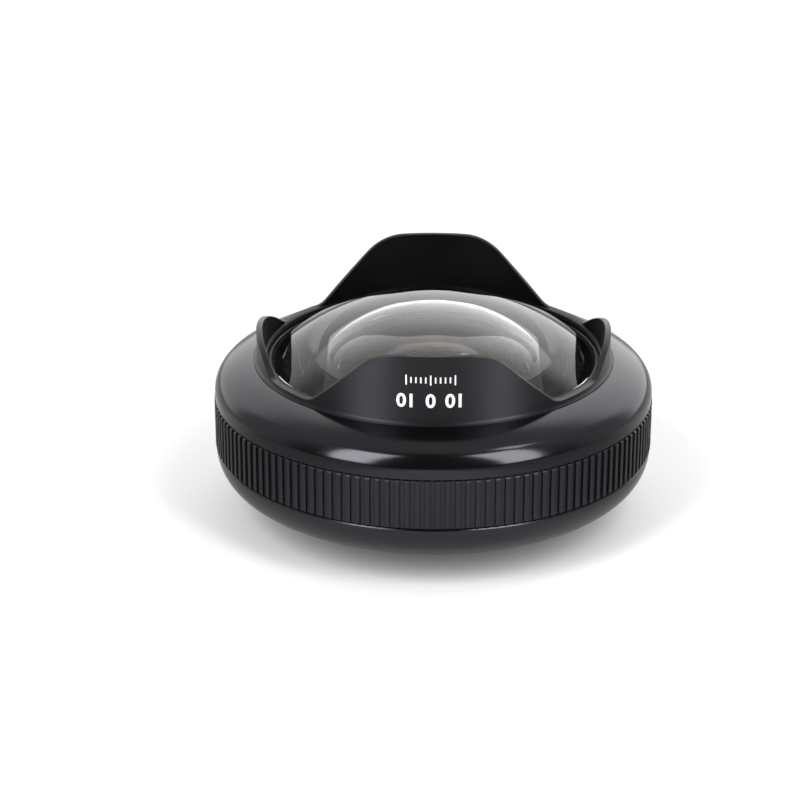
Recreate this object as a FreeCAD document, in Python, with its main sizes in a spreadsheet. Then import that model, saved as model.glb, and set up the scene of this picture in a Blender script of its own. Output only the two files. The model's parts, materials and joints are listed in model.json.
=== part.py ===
# Wide-angle wet lens: an underwater converter with a domed front glass, a four-petal hood and a
# hollow round float collar with a ribbed grip ring. Millimetres. +Z is the optical axis, towards
# the subject. The origin is the centre of the rear end face of the mount thread.

import FreeCAD, Part
import math
import os
import re
import Sketcher

doc = FreeCAD.newDocument("WetLens")

# Driving dimensions: one name, one value, written once.
SIZES = [
    # Rear mount: a 67 mm male thread on a bolted flange.
    ("thread_rad", 33.5, "major radius of the mount thread"),
    ("thread_len", 5.0, "from the rear end face to the flange"),
    ("relief_depth", 0.6, "depth of the run-out groove behind the thread"),
    ("relief_width", 0.8, "width of the run-out groove"),
    ("thread_chamfer", 0.5, "lead-in of the thread"),
    ("mount_bore_gap", 0.1, "play of the rear cell's tail in the mount ring"),
    ("mount_flange_thick", 3.0, "thickness of the mount flange"),
    ("mount_screw_place", 3.0, "from the rear cell's flange out to the mount screw circle"),
    ("mount_rim", 3.0, "from the mount screw circle out to the flange's edge"),
    ("mount_screw_count", 4, "screws in the mount flange"),
    ("mount_screw_len", 7.5, "length of a mount screw with its head"),
    # Screws, both sizes of the same pattern.
    ("screw_rad", 1.25, "thread radius of a screw"),
    ("head_rad", 2.3, "radius of a countersunk head"),
    ("hexagon_rad", 0.85, "hexagon socket, centre to corner"),
    ("socket_depth", 1.1, "depth of the hexagon socket"),
    ("screw_gap", 0.05, "radial play of a screw in its hole"),
    # Rear glass group.
    ("cell_bore_rad", 27.0, "edge radius of the rear glasses"),
    ("glass_gap", 0.05, "radial play of a glass in its seat"),
    ("rear_clear_rad", 23.0, "clear radius of the rear glass"),
    ("rear_flat_level", 6.6, "level of the rear glass's back edge"),
    ("rear_back_curve", 150.0, "radius of the rear glass's hollow back"),
    ("rear_front_curve", 100.0, "radius of the rear glass's front"),
    ("rear_front_clear", 24.0, "clear radius of the rear glass's front"),
    ("rear_thick", 3.7, "centre thickness of the rear glass"),
    ("rear_air", 0.5, "air between the rear glass and the doublet"),
    ("doublet_back_curve", 200.0, "radius of the doublet's back"),
    ("doublet_clear_rad", 24.0, "clear radius of the doublet"),
    ("doublet_flint_thick", 2.5, "centre thickness of the doublet's rear glass"),
    ("doublet_inner_curve", 90.0, "radius of the cemented faces"),
    ("doublet_crown_thick", 9.5, "centre thickness of the doublet's front glass"),
    ("doublet_front_curve", 80.0, "radius of the doublet's front"),
    ("rear_ring_bore", 23.6, "inner radius of the rear retaining ring"),
    ("rear_ring_thick", 1.6, "thickness of the rear retaining ring"),
    ("spacer_wall", 2.4, "wall of the doublet spacer"),
    ("cell_wall", 3.95, "wall of the rear cell's tube"),
    ("cell_lip", 2.75, "how far the rear cell's front lip reaches in"),
    ("cell_lip_thick", 1.3, "thickness of the front lip"),
    ("cell_flange_rad", 35.0, "radius of the rear cell's clamped flange"),
    ("cell_flange_thick", 3.0, "thickness of the clamped flange"),
    ("cell_tail_rad", 29.0, "outer radius of the rear cell's tail"),
    ("cell_gap", 0.05, "radial play of the rear cell in the barrel"),
    ("cell_head_air", 0.2, "air over the rear cell's front end"),
    # Second and third glasses.
    ("third_rad", 31.0, "edge radius of the third glass"),
    ("third_seat_level", 24.6, "level of the third glass's back edge"),
    ("third_back_curve", 40.0, "radius of the third glass's hollow back"),
    ("third_back_clear", 22.0, "clear radius of the third glass's back"),
    ("third_thick", 3.0, "centre thickness of the third glass"),
    ("third_front_curve", 60.0, "radius of the third glass's front"),
    ("third_front_clear", 26.0, "clear radius of the third glass's front"),
    ("third_spacer_thick", 3.2, "thickness of the third glass's spacer"),
    ("third_spacer_wall", 3.2, "wall of the third glass's spacer"),
    ("third_ledge", 3.0, "reach of the ledge under the third glass"),
    ("second_back_curve", 34.0, "radius of the second glass's hollow back"),
    ("second_back_clear", 27.5, "clear radius of the second glass's back"),
    ("second_thick", 3.5, "centre thickness of the second glass"),
    ("second_front_curve", 110.0, "radius of the second glass's front"),
    ("second_front_clear", 31.0, "clear radius of the second glass's front"),
    ("second_ring_reach", 1.0, "how far the second retaining ring stands out past the glass"),
    ("second_ring_air", 0.8, "from the second retaining ring out to the dome's hollow back"),
    ("second_ring_thick", 1.3, "thickness of the second retaining ring"),
    ("second_ring_bore", 31.3, "inner radius of the second retaining ring"),
    ("second_thread_depth", 0.6, "how deep the second retaining ring screws in"),
    # Front glass.
    ("dome_top", 65.2, "level of the dome's apex"),
    ("dome_curve", 76.0, "radius of the dome's outer face"),
    ("dome_thick", 4.2, "centre thickness of the dome"),
    ("dome_back_curve", 49.0, "radius of the dome's hollow back"),
    ("dome_back_clear", 40.5, "clear radius of the dome's back"),
    ("dome_edge_rad", 49.6, "edge radius of the dome"),
    ("dome_ledge", 1.05, "width of the step that the retaining ring holds"),
    ("dome_step", 2.0, "depth of that step"),
    ("front_ring_thick", 1.8, "thickness of the front retaining ring"),
    ("front_ring_reach", 0.3, "how far the front retaining ring stands out past the dome"),
    ("front_ring_gap", 0.1, "play between the retaining ring and the dome's step"),
    ("front_ring_land", 0.65, "width of the raised rim on the front retaining ring"),
    ("front_ring_drop", 0.8, "from that rim down to the ring's outer part"),
    # Barrel.
    ("neck_wall", 1.3, "wall of the barrel's neck outside the front retaining ring"),
    ("neck_rim_drop", 0.3, "neck's rim below the retaining ring's front"),
    ("waist_rad", 41.5, "outer radius of the barrel's waist"),
    ("waist_top", 31.0, "where the waist starts to widen"),
    ("waist_flare", 5.0, "height of the widening"),
    ("shoulder_gap", 0.2, "play of the upper shell's bore on the shoulder that stops it"),
    ("shoulder_level", 39.9, "level of the shoulder's rear face"),
    ("shoulder_thick", 1.5, "thickness of the shoulder"),
    ("nose_rim", 0.6, "rim of the nose round the second retaining ring"),
    ("nose_land", 0.5, "from the dome's clear back to the foot of the nose"),
    ("tail_rim", 0.4, "how far the barrel's tail stands out past the mount flange"),
    ("rear_flange_rim", 1.8, "from the collar's rear seal out to the edge of the barrel's flange"),
    ("rear_flange_thick", 5.2, "thickness of the barrel's rear flange"),
    # Float collar.
    ("collar_width", 14.6, "from the barrel's neck out to the side of the shells"),
    ("grip_proud", 0.2, "how far the grip ring stands out past the shells"),
    ("grip_wall", 2.8, "wall of the grip ring"),
    ("grip_low", 20.85, "level of the grip ring's rear edge"),
    ("grip_width", 15.3, "width of the grip ring"),
    ("grip_ribs", 144, "ribs round the grip ring"),
    ("groove_width", 1.5, "width of a groove between ribs"),
    ("groove_depth", 0.7, "depth of a groove"),
    ("rib_chamfer", 0.4, "chamfer at the ends of the ribs"),
    ("slit_width", 0.3, "width of the slit between the ribs and a shell"),
    ("slit_depth", 1.0, "depth of that slit"),
    ("rim_chamfer", 0.3, "chamfer of a shell's rim beside the grip ring"),
    ("shell_wall", 2.0, "wall of the shells"),
    ("spigot_len", 4.5, "how far a shell reaches inside the grip ring"),
    ("spigot_wall", 2.25, "wall of a spigot"),
    ("spigot_gap", 0.05, "play between a spigot and the grip ring"),
    ("upper_side", 2.05, "height of the upper shell's straight side"),
    ("upper_round", 6.7, "radius of the upper shell's shoulder"),
    ("upper_turn", 60.0, "how far that shoulder turns in degrees"),
    ("crown_round", 34.0, "radius of the upper shell's gentle crown"),
    ("seat_step", 0.2, "depth of the rebate that the hood's lip runs in"),
    ("foot_thick", 3.0, "thickness of the upper shell's foot"),
    ("foot_gap", 0.05, "play of the collar on the barrel"),
    ("lower_round", 11.5, "radius of the lower shell's side"),
    ("lower_flange_thick", 2.8, "thickness of the lower shell's flange"),
    ("collar_screw_place", 3.6, "from the barrel's tail out to the collar screw circle"),
    ("collar_screw_count", 6, "screws in the collar's rear flange"),
    ("collar_screw_len", 7.0, "length of a collar screw with its head"),
    # Hood.
    ("hood_reach", 1.8, "from the barrel's neck out to the hood's side"),
    ("hood_wall", 1.8, "wall of the hood's petals"),
    ("hood_gap", 0.05, "running play of the hood on the neck"),
    ("skirt_step", 0.2, "how far the skirt stands back from the hood's side"),
    ("skirt_air", 0.3, "air between the skirt and the upper shell"),
    ("skirt_end_air", 0.5, "air between the skirt and the shoulder"),
    ("ledge_reach", 1.1, "how far the hood's ledge reaches in over the neck's rim"),
    ("ledge_air", 0.4, "air between the neck's rim and the ledge"),
    ("lip_reach", 0.95, "how far the hood's lip stands out, and the radius of its fillet"),
    ("lip_height", 0.3, "height of the lip's edge"),
    ("lip_air", 0.1, "running air between the lip and its rebate"),
    ("valley_level", 49.0, "level of the hood's top between petals"),
    ("petal_top", 68.1, "level of the two tall petals"),
    ("petal_flat", 16.3, "half width of a tall petal's flat, to its sharp corner"),
    ("petal_slope", 45.0, "slope of a petal's flank in degrees"),
    ("petal_corner", 16.0, "rounding of a tall petal's corners"),
    ("valley_corner", 5.0, "rounding at the foot of a petal"),
    ("side_top", 57.2, "level of the two low petals"),
    ("side_flat", 12.1, "half width of a low petal's flat, to its sharp corner"),
    ("side_slope", 37.0, "slope of a low petal's flank in degrees"),
    ("side_corner", 35.0, "rounding of a low petal's corners, which makes it one arch"),
    # Seals and the hood's snap ring.
    ("seal_wire", 0.5, "section radius of the small round seals"),
    ("seal_room", 0.1, "side play of a seal in its groove"),
    ("seal_squeeze", 0.03, "air left between a seal and the face it meets"),
    ("front_seal_wire", 0.85, "section radius of the dome's seal"),
    ("front_seal_place", 3.1, "from the dome's edge in to its seal"),
    ("flange_seal_place", 3.4, "from the collar screw circle out to the collar's rear seal"),
    ("foot_seal_level", 38.2, "level of the collar's front seal"),
    ("spigot_seal_place", 2.4, "from a grip ring's edge to its seal"),
    ("cell_seal_level", 16.0, "level of the rear cell's seal"),
    ("rear_seal_level", 7.9, "level of the rear glass's seal"),
    ("drag_level", 43.0, "level of the hood's drag ring"),
    ("drag_wire", 0.4, "section radius of the hood's drag ring"),
    ("snap_level", 44.9, "level of the hood's snap ring"),
    ("snap_wire", 0.6, "section radius of the hood's snap ring"),
    ("snap_bite", 0.35, "how far the snap ring stands out of the neck"),
    ("snap_room", 0.15, "play round the snap ring in the hood"),
]

# Sizes that follow from the driving ones.
DERIVED = [
    # Radii of the rear end, from the rear cell's flange outwards.
    ("mount_bore_rad", "cell_tail_rad + mount_bore_gap"),
    ("mount_screw_circle", "cell_flange_rad + mount_screw_place"),
    ("mount_flange_rad", "mount_screw_circle + mount_rim"),
    ("tail_rad", "mount_flange_rad + tail_rim"),
    ("collar_screw_circle", "tail_rad + collar_screw_place"),
    ("flange_seal_rad", "collar_screw_circle + flange_seal_place"),
    ("rear_flange_rad", "flange_seal_rad + rear_flange_rim"),
    # Radii of the front end, from the dome's edge outwards.
    ("dome_step_rad", "dome_edge_rad - dome_ledge"),
    ("front_seal_rad", "dome_edge_rad - front_seal_place"),
    ("front_ring_rad", "dome_edge_rad + front_ring_reach"),
    ("neck_rad", "front_ring_rad + neck_wall"),
    ("hood_bore", "neck_rad + hood_gap"),
    ("hood_rad", "neck_rad + hood_reach"),
    ("petal_bore", "hood_rad - hood_wall"),
    ("hood_ledge_bore", "neck_rad - ledge_reach"),
    ("hood_skirt_rad", "hood_rad - skirt_step"),
    ("hood_lip_rad", "hood_rad + lip_reach"),
    ("shell_bore_rad", "hood_skirt_rad + skirt_air"),
    ("shoulder_rad", "shell_bore_rad - shoulder_gap"),
    ("collar_rad", "neck_rad + collar_width"),
    ("grip_rad", "collar_rad + grip_proud"),
    ("grip_bore_rad", "grip_rad - grip_wall"),
    ("spigot_rad", "grip_bore_rad - spigot_gap"),
    ("spigot_inner", "spigot_rad - spigot_wall"),
    # Levels of the lower shell, which the mount and the barrel's flange meet.
    ("lower_rim", "grip_low - rim_chamfer"),
    ("lower_bottom", "lower_rim - lower_round"),
    ("collar_seat", "lower_bottom + lower_flange_thick"),
    ("mount_top", "thread_len + mount_flange_thick"),
    # Rear group, from the rear glass forwards.
    ("rear_back_apex", "rear_flat_level + rear_back_curve - sqrt(rear_back_curve^2 - rear_clear_rad^2)"),
    ("rear_front_apex", "rear_back_apex + rear_thick"),
    ("rear_front_flat", "rear_front_apex - rear_front_curve + sqrt(rear_front_curve^2 - rear_front_clear^2)"),
    ("flint_back_apex", "rear_front_apex + rear_air"),
    ("flint_back_flat",
     "flint_back_apex + doublet_back_curve - sqrt(doublet_back_curve^2 - doublet_clear_rad^2)"),
    ("cement_apex", "flint_back_apex + doublet_flint_thick"),
    ("cement_edge", "cement_apex + doublet_inner_curve - sqrt(doublet_inner_curve^2 - cell_bore_rad^2)"),
    ("crown_front_apex", "cement_apex + doublet_crown_thick"),
    ("crown_front_flat",
     "crown_front_apex - doublet_front_curve + sqrt(doublet_front_curve^2 - doublet_clear_rad^2)"),
    ("cell_rad", "cell_bore_rad + glass_gap + cell_wall"),
    ("cell_top", "crown_front_flat + cell_lip_thick"),
    ("cell_bottom", "rear_flat_level - rear_ring_thick"),
    ("cell_flange_top", "mount_top + cell_flange_thick"),
    # Third and second glasses.
    ("third_back_apex",
     "third_seat_level + third_back_curve - sqrt(third_back_curve^2 - third_back_clear^2)"),
    ("third_front_apex", "third_back_apex + third_thick"),
    ("third_front_flat",
     "third_front_apex - third_front_curve + sqrt(third_front_curve^2 - third_front_clear^2)"),
    ("second_seat", "third_front_flat + third_spacer_thick"),
    ("second_back_apex", "second_seat + second_back_curve - sqrt(second_back_curve^2 - second_back_clear^2)"),
    ("second_front_apex", "second_back_apex + second_thick"),
    ("second_front_flat",
     "second_front_apex - second_front_curve + sqrt(second_front_curve^2 - second_front_clear^2)"),
    ("second_ring_top", "second_front_flat + second_ring_thick"),
    # The dome's hollow back leaves this room for the second glass and its ring.
    ("dome_back_centre", "dome_top - dome_thick - dome_back_curve"),
    ("second_ring_rad",
     "sqrt(dome_back_curve^2 - (second_ring_top - dome_back_centre)^2) - second_ring_air"),
    ("second_rad", "second_ring_rad - second_ring_reach"),
    # Dome and its ring.
    ("dome_seat", "dome_back_centre + sqrt(dome_back_curve^2 - dome_back_clear^2)"),
    ("dome_step_top", "dome_top - dome_curve + sqrt(dome_curve^2 - dome_step_rad^2)"),
    ("dome_step_level", "dome_step_top - dome_step"),
    ("front_ring_bore", "dome_step_rad + front_ring_gap"),
    ("front_ring_top", "dome_step_level + front_ring_thick"),
    ("neck_top", "front_ring_top - neck_rim_drop"),
    ("nose_top", "second_front_flat + second_thread_depth"),
    # Collar: the upper shell's shoulder runs into its crown, and the crown ends at the hood's lip.
    ("grip_top", "grip_low + grip_width"),
    ("upper_centre", "grip_top + upper_side"),
    ("turn_rad", "collar_rad - upper_round * (1 - cos(upper_turn))"),
    ("turn_level", "upper_centre + upper_round * sin(upper_turn)"),
    ("crown_centre_rad", "turn_rad - crown_round * cos(upper_turn)"),
    ("crown_centre", "turn_level - crown_round * sin(upper_turn)"),
    ("crown_edge_rad", "hood_lip_rad + lip_air"),
    ("crown_edge_level", "crown_centre + sqrt(crown_round^2 - (crown_edge_rad - crown_centre_rad)^2)"),
    ("lip_seat", "crown_edge_level - seat_step"),
    ("foot_rad", "shell_bore_rad + shell_wall"),
    ("crown_inner_meet",
     "crown_centre + sqrt((crown_round - shell_wall)^2 - (foot_rad - crown_centre_rad)^2)"),
    ("upper_inner_meet",
     "crown_centre + sqrt((crown_round - shell_wall)^2 - (spigot_inner - crown_centre_rad)^2)"),
    ("foot_low", "shoulder_level - foot_thick"),
    ("lower_turn_rad", "collar_rad - lower_round"),
    ("flange_edge", "lower_turn_rad + sqrt((lower_round - shell_wall)^2 - (lower_rim - collar_seat)^2)"),
    ("lower_inner_meet",
     "lower_rim - sqrt((lower_round - shell_wall)^2 - (spigot_inner - lower_turn_rad)^2)"),
    # Hood.
    ("hood_low", "shoulder_level + shoulder_thick + skirt_end_air"),
    ("ledge_level", "neck_top + ledge_air"),
    ("lip_level", "lip_seat + lip_air"),
    ("lip_top", "lip_level + lip_height"),
    ("petal_foot", "petal_flat + (petal_top - valley_level) / tan(petal_slope)"),
    ("side_foot", "side_flat + (side_top - valley_level) / tan(side_slope)"),
    # How far a rounding reaches along the sides of its corner.
    ("petal_run", "petal_corner * tan(petal_slope / 2)"),
    ("petal_heel", "valley_corner * tan(petal_slope / 2)"),
    ("side_run", "side_corner * tan(side_slope / 2)"),
    ("side_heel", "valley_corner * tan(side_slope / 2)"),
    # Inside these the cuts may pass without touching the petals they leave alone.
    ("side_wall_near", "sqrt(petal_bore^2 - (side_foot + side_heel)^2) - hood_wall"),
    ("petal_wall_near", "sqrt(petal_bore^2 - (petal_foot + petal_heel)^2) - hood_wall"),
    # Centres of the seals: each just clears the face it is squeezed against.
    ("front_seal_level", "dome_seat - seal_squeeze - front_seal_wire"),
    ("flange_seal_level", "collar_seat + seal_squeeze + seal_wire"),
    ("foot_seal_rad", "neck_rad + foot_gap - seal_squeeze - seal_wire"),
    ("spigot_seal_rad", "grip_bore_rad - seal_squeeze - seal_wire"),
    ("upper_seal_level", "grip_top - spigot_seal_place"),
    ("lower_seal_level", "grip_low + spigot_seal_place"),
    ("cell_seal_rad", "cell_rad + cell_gap - seal_squeeze - seal_wire"),
    ("rear_seal_rad", "cell_bore_rad + seal_squeeze + seal_wire"),
    ("drag_rad", "hood_bore - seal_squeeze - drag_wire"),
    ("snap_rad", "neck_rad + snap_bite - snap_wire"),
]

sheet = doc.addObject("Spreadsheet::Sheet", "Sizes")
sheet.Label = "Sizes"
row = 1
for name, value, note in SIZES:
    sheet.set("A%d" % row, name)
    sheet.set("B%d" % row, str(value))
    sheet.set("C%d" % row, note)
    sheet.setAlias("B%d" % row, name)
    row += 1
for name, formula in DERIVED:
    sheet.set("A%d" % row, name)
    sheet.set("B%d" % row, "=" + formula)
    sheet.setAlias("B%d" % row, name)
    row += 1
doc.recompute()

ALIASES = {entry[0] for entry in SIZES + DERIVED}


def number(text):
    """The value of an expression in the sheet's names."""
    return float(sheet.evalExpression(text))


def sheet_name(word):
    return "Sizes." + word.group() if word.group() in ALIASES else word.group()


def bound(text):
    """The same expression as another object of the document reads it."""
    return re.sub(r"[a-z][a-z_]*", sheet_name, text)


def new_body(label):
    body = doc.addObject("PartDesign::Body", label)
    body.Label = label
    return body


def sketch_on(body, role, name):
    """An empty sketch on one of the body's own origin planes."""
    plane = [item for item in body.Origin.OriginFeatures if item.Role == role][0]
    sketch = body.newObject("Sketcher::SketchObject", name)
    sketch.AttachmentSupport = (plane, [""])
    sketch.MapMode = "FlatFace"
    return sketch


def arc_between(start, end, radius, side):
    """The minor arc from start to end. side 1 puts its centre to the left of that way, -1 to the right."""
    chord = end - start
    half = chord.Length / 2
    rise = math.sqrt(max(radius * radius - half * half, 0))
    left = FreeCAD.Vector(-chord.y, chord.x, 0).normalize()
    centre = (start + end) / 2 + left * (rise * side)
    circle = Part.Circle(centre, FreeCAD.Vector(0, 0, 1), radius)
    first = math.atan2(start.y - centre.y, start.x - centre.x)
    last = math.atan2(end.y - centre.y, end.x - centre.x)
    if side < 0:
        first, last = last, first
    if last < first:
        last += 2 * math.pi
    return Part.ArcOfCircle(circle, first, last)


def draw_outline(sketch, outline):
    """Draws a closed outline and binds it to the sheet.

    Each entry is (x, y) for a straight side to the next point, or (x, y, radius, side) for an
    arc to it. All of them but side are expressions.
    """
    count = len(outline)
    base = sketch.GeometryCount
    points = [FreeCAD.Vector(number(entry[0]), number(entry[1]), 0) for entry in outline]
    starts = []
    ends = []
    for i, entry in enumerate(outline):
        here = points[i]
        there = points[(i + 1) % count]
        if len(entry) == 2:
            sketch.addGeometry(Part.LineSegment(here, there), False)
            starts.append(1)
            ends.append(2)
        else:
            sketch.addGeometry(arc_between(here, there, number(entry[2]), entry[3]), False)
            starts.append(1 if entry[3] > 0 else 2)
            ends.append(2 if entry[3] > 0 else 1)
    for i, entry in enumerate(outline):
        after = (i + 1) % count
        joint = Sketcher.Constraint("Coincident", base + i, ends[i], base + after, starts[after])
        sketch.addConstraint(joint)
        for axis, text in (("DistanceX", entry[0]), ("DistanceY", entry[1])):
            value = number(text)
            index = sketch.addConstraint(Sketcher.Constraint(axis, -1, 1, base + i, starts[i], value))
            sketch.setExpression("Constraints[%d]" % index, bound(text))
        if len(entry) == 4:
            index = sketch.addConstraint(Sketcher.Constraint("Radius", base + i, number(entry[2])))
            sketch.setExpression("Constraints[%d]" % index, bound(entry[2]))


def turned(label, outline):
    """A body turned about the optical axis from an outline of (radius, level) points."""
    body = new_body(label)
    sketch = sketch_on(body, "XZ_Plane", label + "_profile")
    draw_outline(sketch, outline)
    turn = body.newObject("PartDesign::Revolution", label + "_turn")
    turn.Profile = sketch
    turn.ReferenceAxis = (sketch, ["V_Axis"])
    turn.Angle = 360
    body.Tip = turn
    return body


def seal(label, radius, level, wire):
    """A round seal ring, as it lies squeezed in its groove."""
    ring = doc.addObject("Part::Torus", label)
    ring.Label = label
    ring.setExpression("Radius1", bound(radius))
    ring.setExpression("Radius2", bound(wire))
    ring.setExpression("Placement.Base.z", bound(level))
    return ring


def groove_out(wall, level, wire, depth):
    """Corners of a seal's groove in an outer wall, for an outline that climbs it."""
    low = "%s - %s - seal_room" % (level, wire)
    high = "%s + %s + seal_room" % (level, wire)
    floor = "%s - (%s)" % (wall, depth)
    return [(wall, low), (floor, low), (floor, high), (wall, high)]


def groove_in(wall, level, wire, depth):
    """Corners of a seal's groove in a bore, for an outline that goes down it."""
    low = "%s - %s - seal_room" % (level, wire)
    high = "%s + %s + seal_room" % (level, wire)
    floor = "%s + %s" % (wall, depth)
    return [(wall, high), (floor, high), (floor, low), (wall, low)]


# Screw circles: radius of the circle, count, level of the heads' rear faces, length.
MOUNT_SCREWS = ("mount_screw_circle", "mount_screw_count", "thread_len", "mount_screw_len")
COLLAR_SCREWS = ("collar_screw_circle", "collar_screw_count", "lower_bottom", "collar_screw_len")


def turn_screw(body, name, kind, screws, play):
    """Turns a countersunk screw's outline about its own axis, which stands on the screw circle."""
    circle, level, length = screws[0], screws[2], screws[3]
    sketch = sketch_on(body, "XZ_Plane", name + "_outline")
    draw_outline(sketch, [
        (circle, level),
        ("%s + head_rad + %s" % (circle, play), level),
        ("%s + screw_rad + %s" % (circle, play), level + " + head_rad - screw_rad"),
        ("%s + screw_rad + %s" % (circle, play), "%s + %s + %s" % (level, length, play)),
        (circle, "%s + %s + %s" % (level, length, play)),
    ])
    turn = body.newObject(kind, name)
    turn.Profile = sketch
    turn.ReferenceAxis = (sketch, ["Edge5"])
    turn.Angle = 360
    return turn


def turn_hole(body, name, screws):
    """A plain blind hole for the end of a screw, drilled from the screw's rear."""
    circle, level, length = screws[0], screws[2], screws[3]
    bottom = "%s + %s + screw_gap" % (level, length)
    sketch = sketch_on(body, "XZ_Plane", name + "_outline")
    draw_outline(sketch, [
        (circle, level),
        (circle + " + screw_rad + screw_gap", level),
        (circle + " + screw_rad + screw_gap", bottom),
        (circle, bottom),
    ])
    hole = body.newObject("PartDesign::Groove", name)
    hole.Profile = sketch
    hole.ReferenceAxis = (sketch, ["Edge4"])
    hole.Angle = 360
    return hole


def round_the_axis(body, name, features, count):
    """Repeats features of a body round the optical axis."""
    centre = sketch_on(body, "XY_Plane", name + "_centre")
    pattern = body.newObject("PartDesign::PolarPattern", name)
    pattern.Originals = features
    pattern.Axis = (centre, ["N_Axis"])
    pattern.Angle = 360
    pattern.setExpression("Occurrences", bound(count))
    body.Tip = pattern


def screw_holes(body, name, screws):
    hole = turn_screw(body, name + "_first", "PartDesign::Groove", screws, "screw_gap")
    round_the_axis(body, name, [hole], screws[1])


def screw_set(label, screws):
    """Countersunk socket screws, heads to the rear: separate solids in one node."""
    body = new_body(label)
    shank = turn_screw(body, label + "_shank", "PartDesign::Revolution", screws, "0")
    sketch = sketch_on(body, "XY_Plane", label + "_socket_outline")
    sketch.setExpression("AttachmentOffset.Base.z", bound(screws[2]))
    corners = []
    for i in range(6):
        corners.append((
            "%s + hexagon_rad * cos(%d)" % (screws[0], 60 * i),
            "hexagon_rad * sin(%d)" % (60 * i),
        ))
    draw_outline(sketch, corners)
    socket = body.newObject("PartDesign::Pocket", label + "_socket")
    socket.Profile = sketch
    socket.Reversed = True
    socket.setExpression("Length", bound("socket_depth"))
    round_the_axis(body, label + "_circle", [shank, socket], screws[1])
    return body


def mount_ring():
    body = turned("mount_ring", [
        ("mount_bore_rad", "0"),
        ("thread_rad - thread_chamfer", "0"),
        ("thread_rad", "thread_chamfer"),
        ("thread_rad", "thread_len - relief_width"),
        ("thread_rad - relief_depth", "thread_len - relief_width"),
        ("thread_rad - relief_depth", "thread_len"),
        ("mount_flange_rad", "thread_len"),
        ("mount_flange_rad", "mount_top"),
        ("mount_bore_rad", "mount_top"),
    ])
    screw_holes(body, "mount_ring_holes", MOUNT_SCREWS)
    return body


def rear_retaining_ring():
    return turned("rear_retaining_ring", [
        ("rear_ring_bore", "cell_bottom"),
        ("cell_bore_rad", "cell_bottom"),
        ("cell_bore_rad", "rear_flat_level"),
        ("rear_ring_bore", "rear_flat_level"),
    ])


def rear_element():
    return turned("rear_element", [
        ("0", "rear_back_apex"),
        ("0", "rear_front_apex", "rear_front_curve", -1),
        ("rear_front_clear", "rear_front_flat"),
        ("cell_bore_rad", "rear_front_flat"),
        ("cell_bore_rad", "rear_flat_level"),
        ("rear_clear_rad", "rear_flat_level", "rear_back_curve", 1),
    ])


def doublet_spacer():
    return turned("doublet_spacer", [
        ("cell_bore_rad - spacer_wall", "rear_front_flat"),
        ("cell_bore_rad", "rear_front_flat"),
        ("cell_bore_rad", "flint_back_flat"),
        ("cell_bore_rad - spacer_wall", "flint_back_flat"),
    ])


def doublet_rear():
    return turned("doublet_rear", [
        ("0", "flint_back_apex", "doublet_back_curve", 1),
        ("doublet_clear_rad", "flint_back_flat"),
        ("cell_bore_rad", "flint_back_flat"),
        ("cell_bore_rad", "cement_edge", "doublet_inner_curve", -1),
        ("0", "cement_apex"),
    ])


def doublet_front():
    return turned("doublet_front", [
        ("0", "cement_apex", "doublet_inner_curve", 1),
        ("cell_bore_rad", "cement_edge"),
        ("cell_bore_rad", "crown_front_flat"),
        ("doublet_clear_rad", "crown_front_flat", "doublet_front_curve", 1),
        ("0", "crown_front_apex"),
    ])


def rear_cell():
    bore = "cell_bore_rad + glass_gap"
    outline = [
        (bore, "cell_bottom"),
        ("cell_tail_rad", "cell_bottom"),
        ("cell_tail_rad", "mount_top"),
        ("cell_flange_rad", "mount_top"),
        ("cell_flange_rad", "cell_flange_top"),
        ("cell_rad", "cell_flange_top"),
    ]
    outline += groove_out("cell_rad", "cell_seal_level", "seal_wire",
                          "2 * seal_wire + seal_squeeze - cell_gap")
    outline += [
        ("cell_rad", "cell_top"),
        ("cell_bore_rad - cell_lip", "cell_top"),
        ("cell_bore_rad - cell_lip", "crown_front_flat"),
        (bore, "crown_front_flat"),
    ]
    outline += groove_in(bore, "rear_seal_level", "seal_wire", "2 * seal_wire + seal_squeeze - glass_gap")
    return turned("rear_cell", outline)


def third_element():
    return turned("third_element", [
        ("0", "third_back_apex"),
        ("0", "third_front_apex", "third_front_curve", -1),
        ("third_front_clear", "third_front_flat"),
        ("third_rad", "third_front_flat"),
        ("third_rad", "third_seat_level"),
        ("third_back_clear", "third_seat_level", "third_back_curve", 1),
    ])


def third_spacer():
    return turned("third_spacer", [
        ("third_rad - third_spacer_wall", "third_front_flat"),
        ("third_rad", "third_front_flat"),
        ("third_rad", "second_seat"),
        ("third_rad - third_spacer_wall", "second_seat"),
    ])


def second_element():
    return turned("second_element", [
        ("0", "second_back_apex"),
        ("0", "second_front_apex", "second_front_curve", -1),
        ("second_front_clear", "second_front_flat"),
        ("second_rad", "second_front_flat"),
        ("second_rad", "second_seat"),
        ("second_back_clear", "second_seat", "second_back_curve", 1),
    ])


def second_retaining_ring():
    return turned("second_retaining_ring", [
        ("second_ring_bore", "second_front_flat"),
        ("second_ring_rad", "second_front_flat"),
        ("second_ring_rad", "second_ring_top"),
        ("second_ring_bore", "second_ring_top"),
    ])


def front_element():
    return turned("front_element", [
        ("0", "dome_top - dome_thick"),
        ("0", "dome_top", "dome_curve", -1),
        ("dome_step_rad", "dome_step_top"),
        ("dome_step_rad", "dome_step_level"),
        ("dome_edge_rad", "dome_step_level"),
        ("dome_edge_rad", "dome_seat"),
        ("dome_back_clear", "dome_seat", "dome_back_curve", 1),
    ])


def front_retaining_ring():
    return turned("front_retaining_ring", [
        ("front_ring_bore", "dome_step_level"),
        ("front_ring_rad", "dome_step_level"),
        ("front_ring_rad", "front_ring_top - front_ring_drop"),
        ("front_ring_bore + front_ring_land", "front_ring_top - front_ring_drop"),
        ("front_ring_bore + front_ring_land", "front_ring_top"),
        ("front_ring_bore", "front_ring_top"),
    ])


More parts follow.
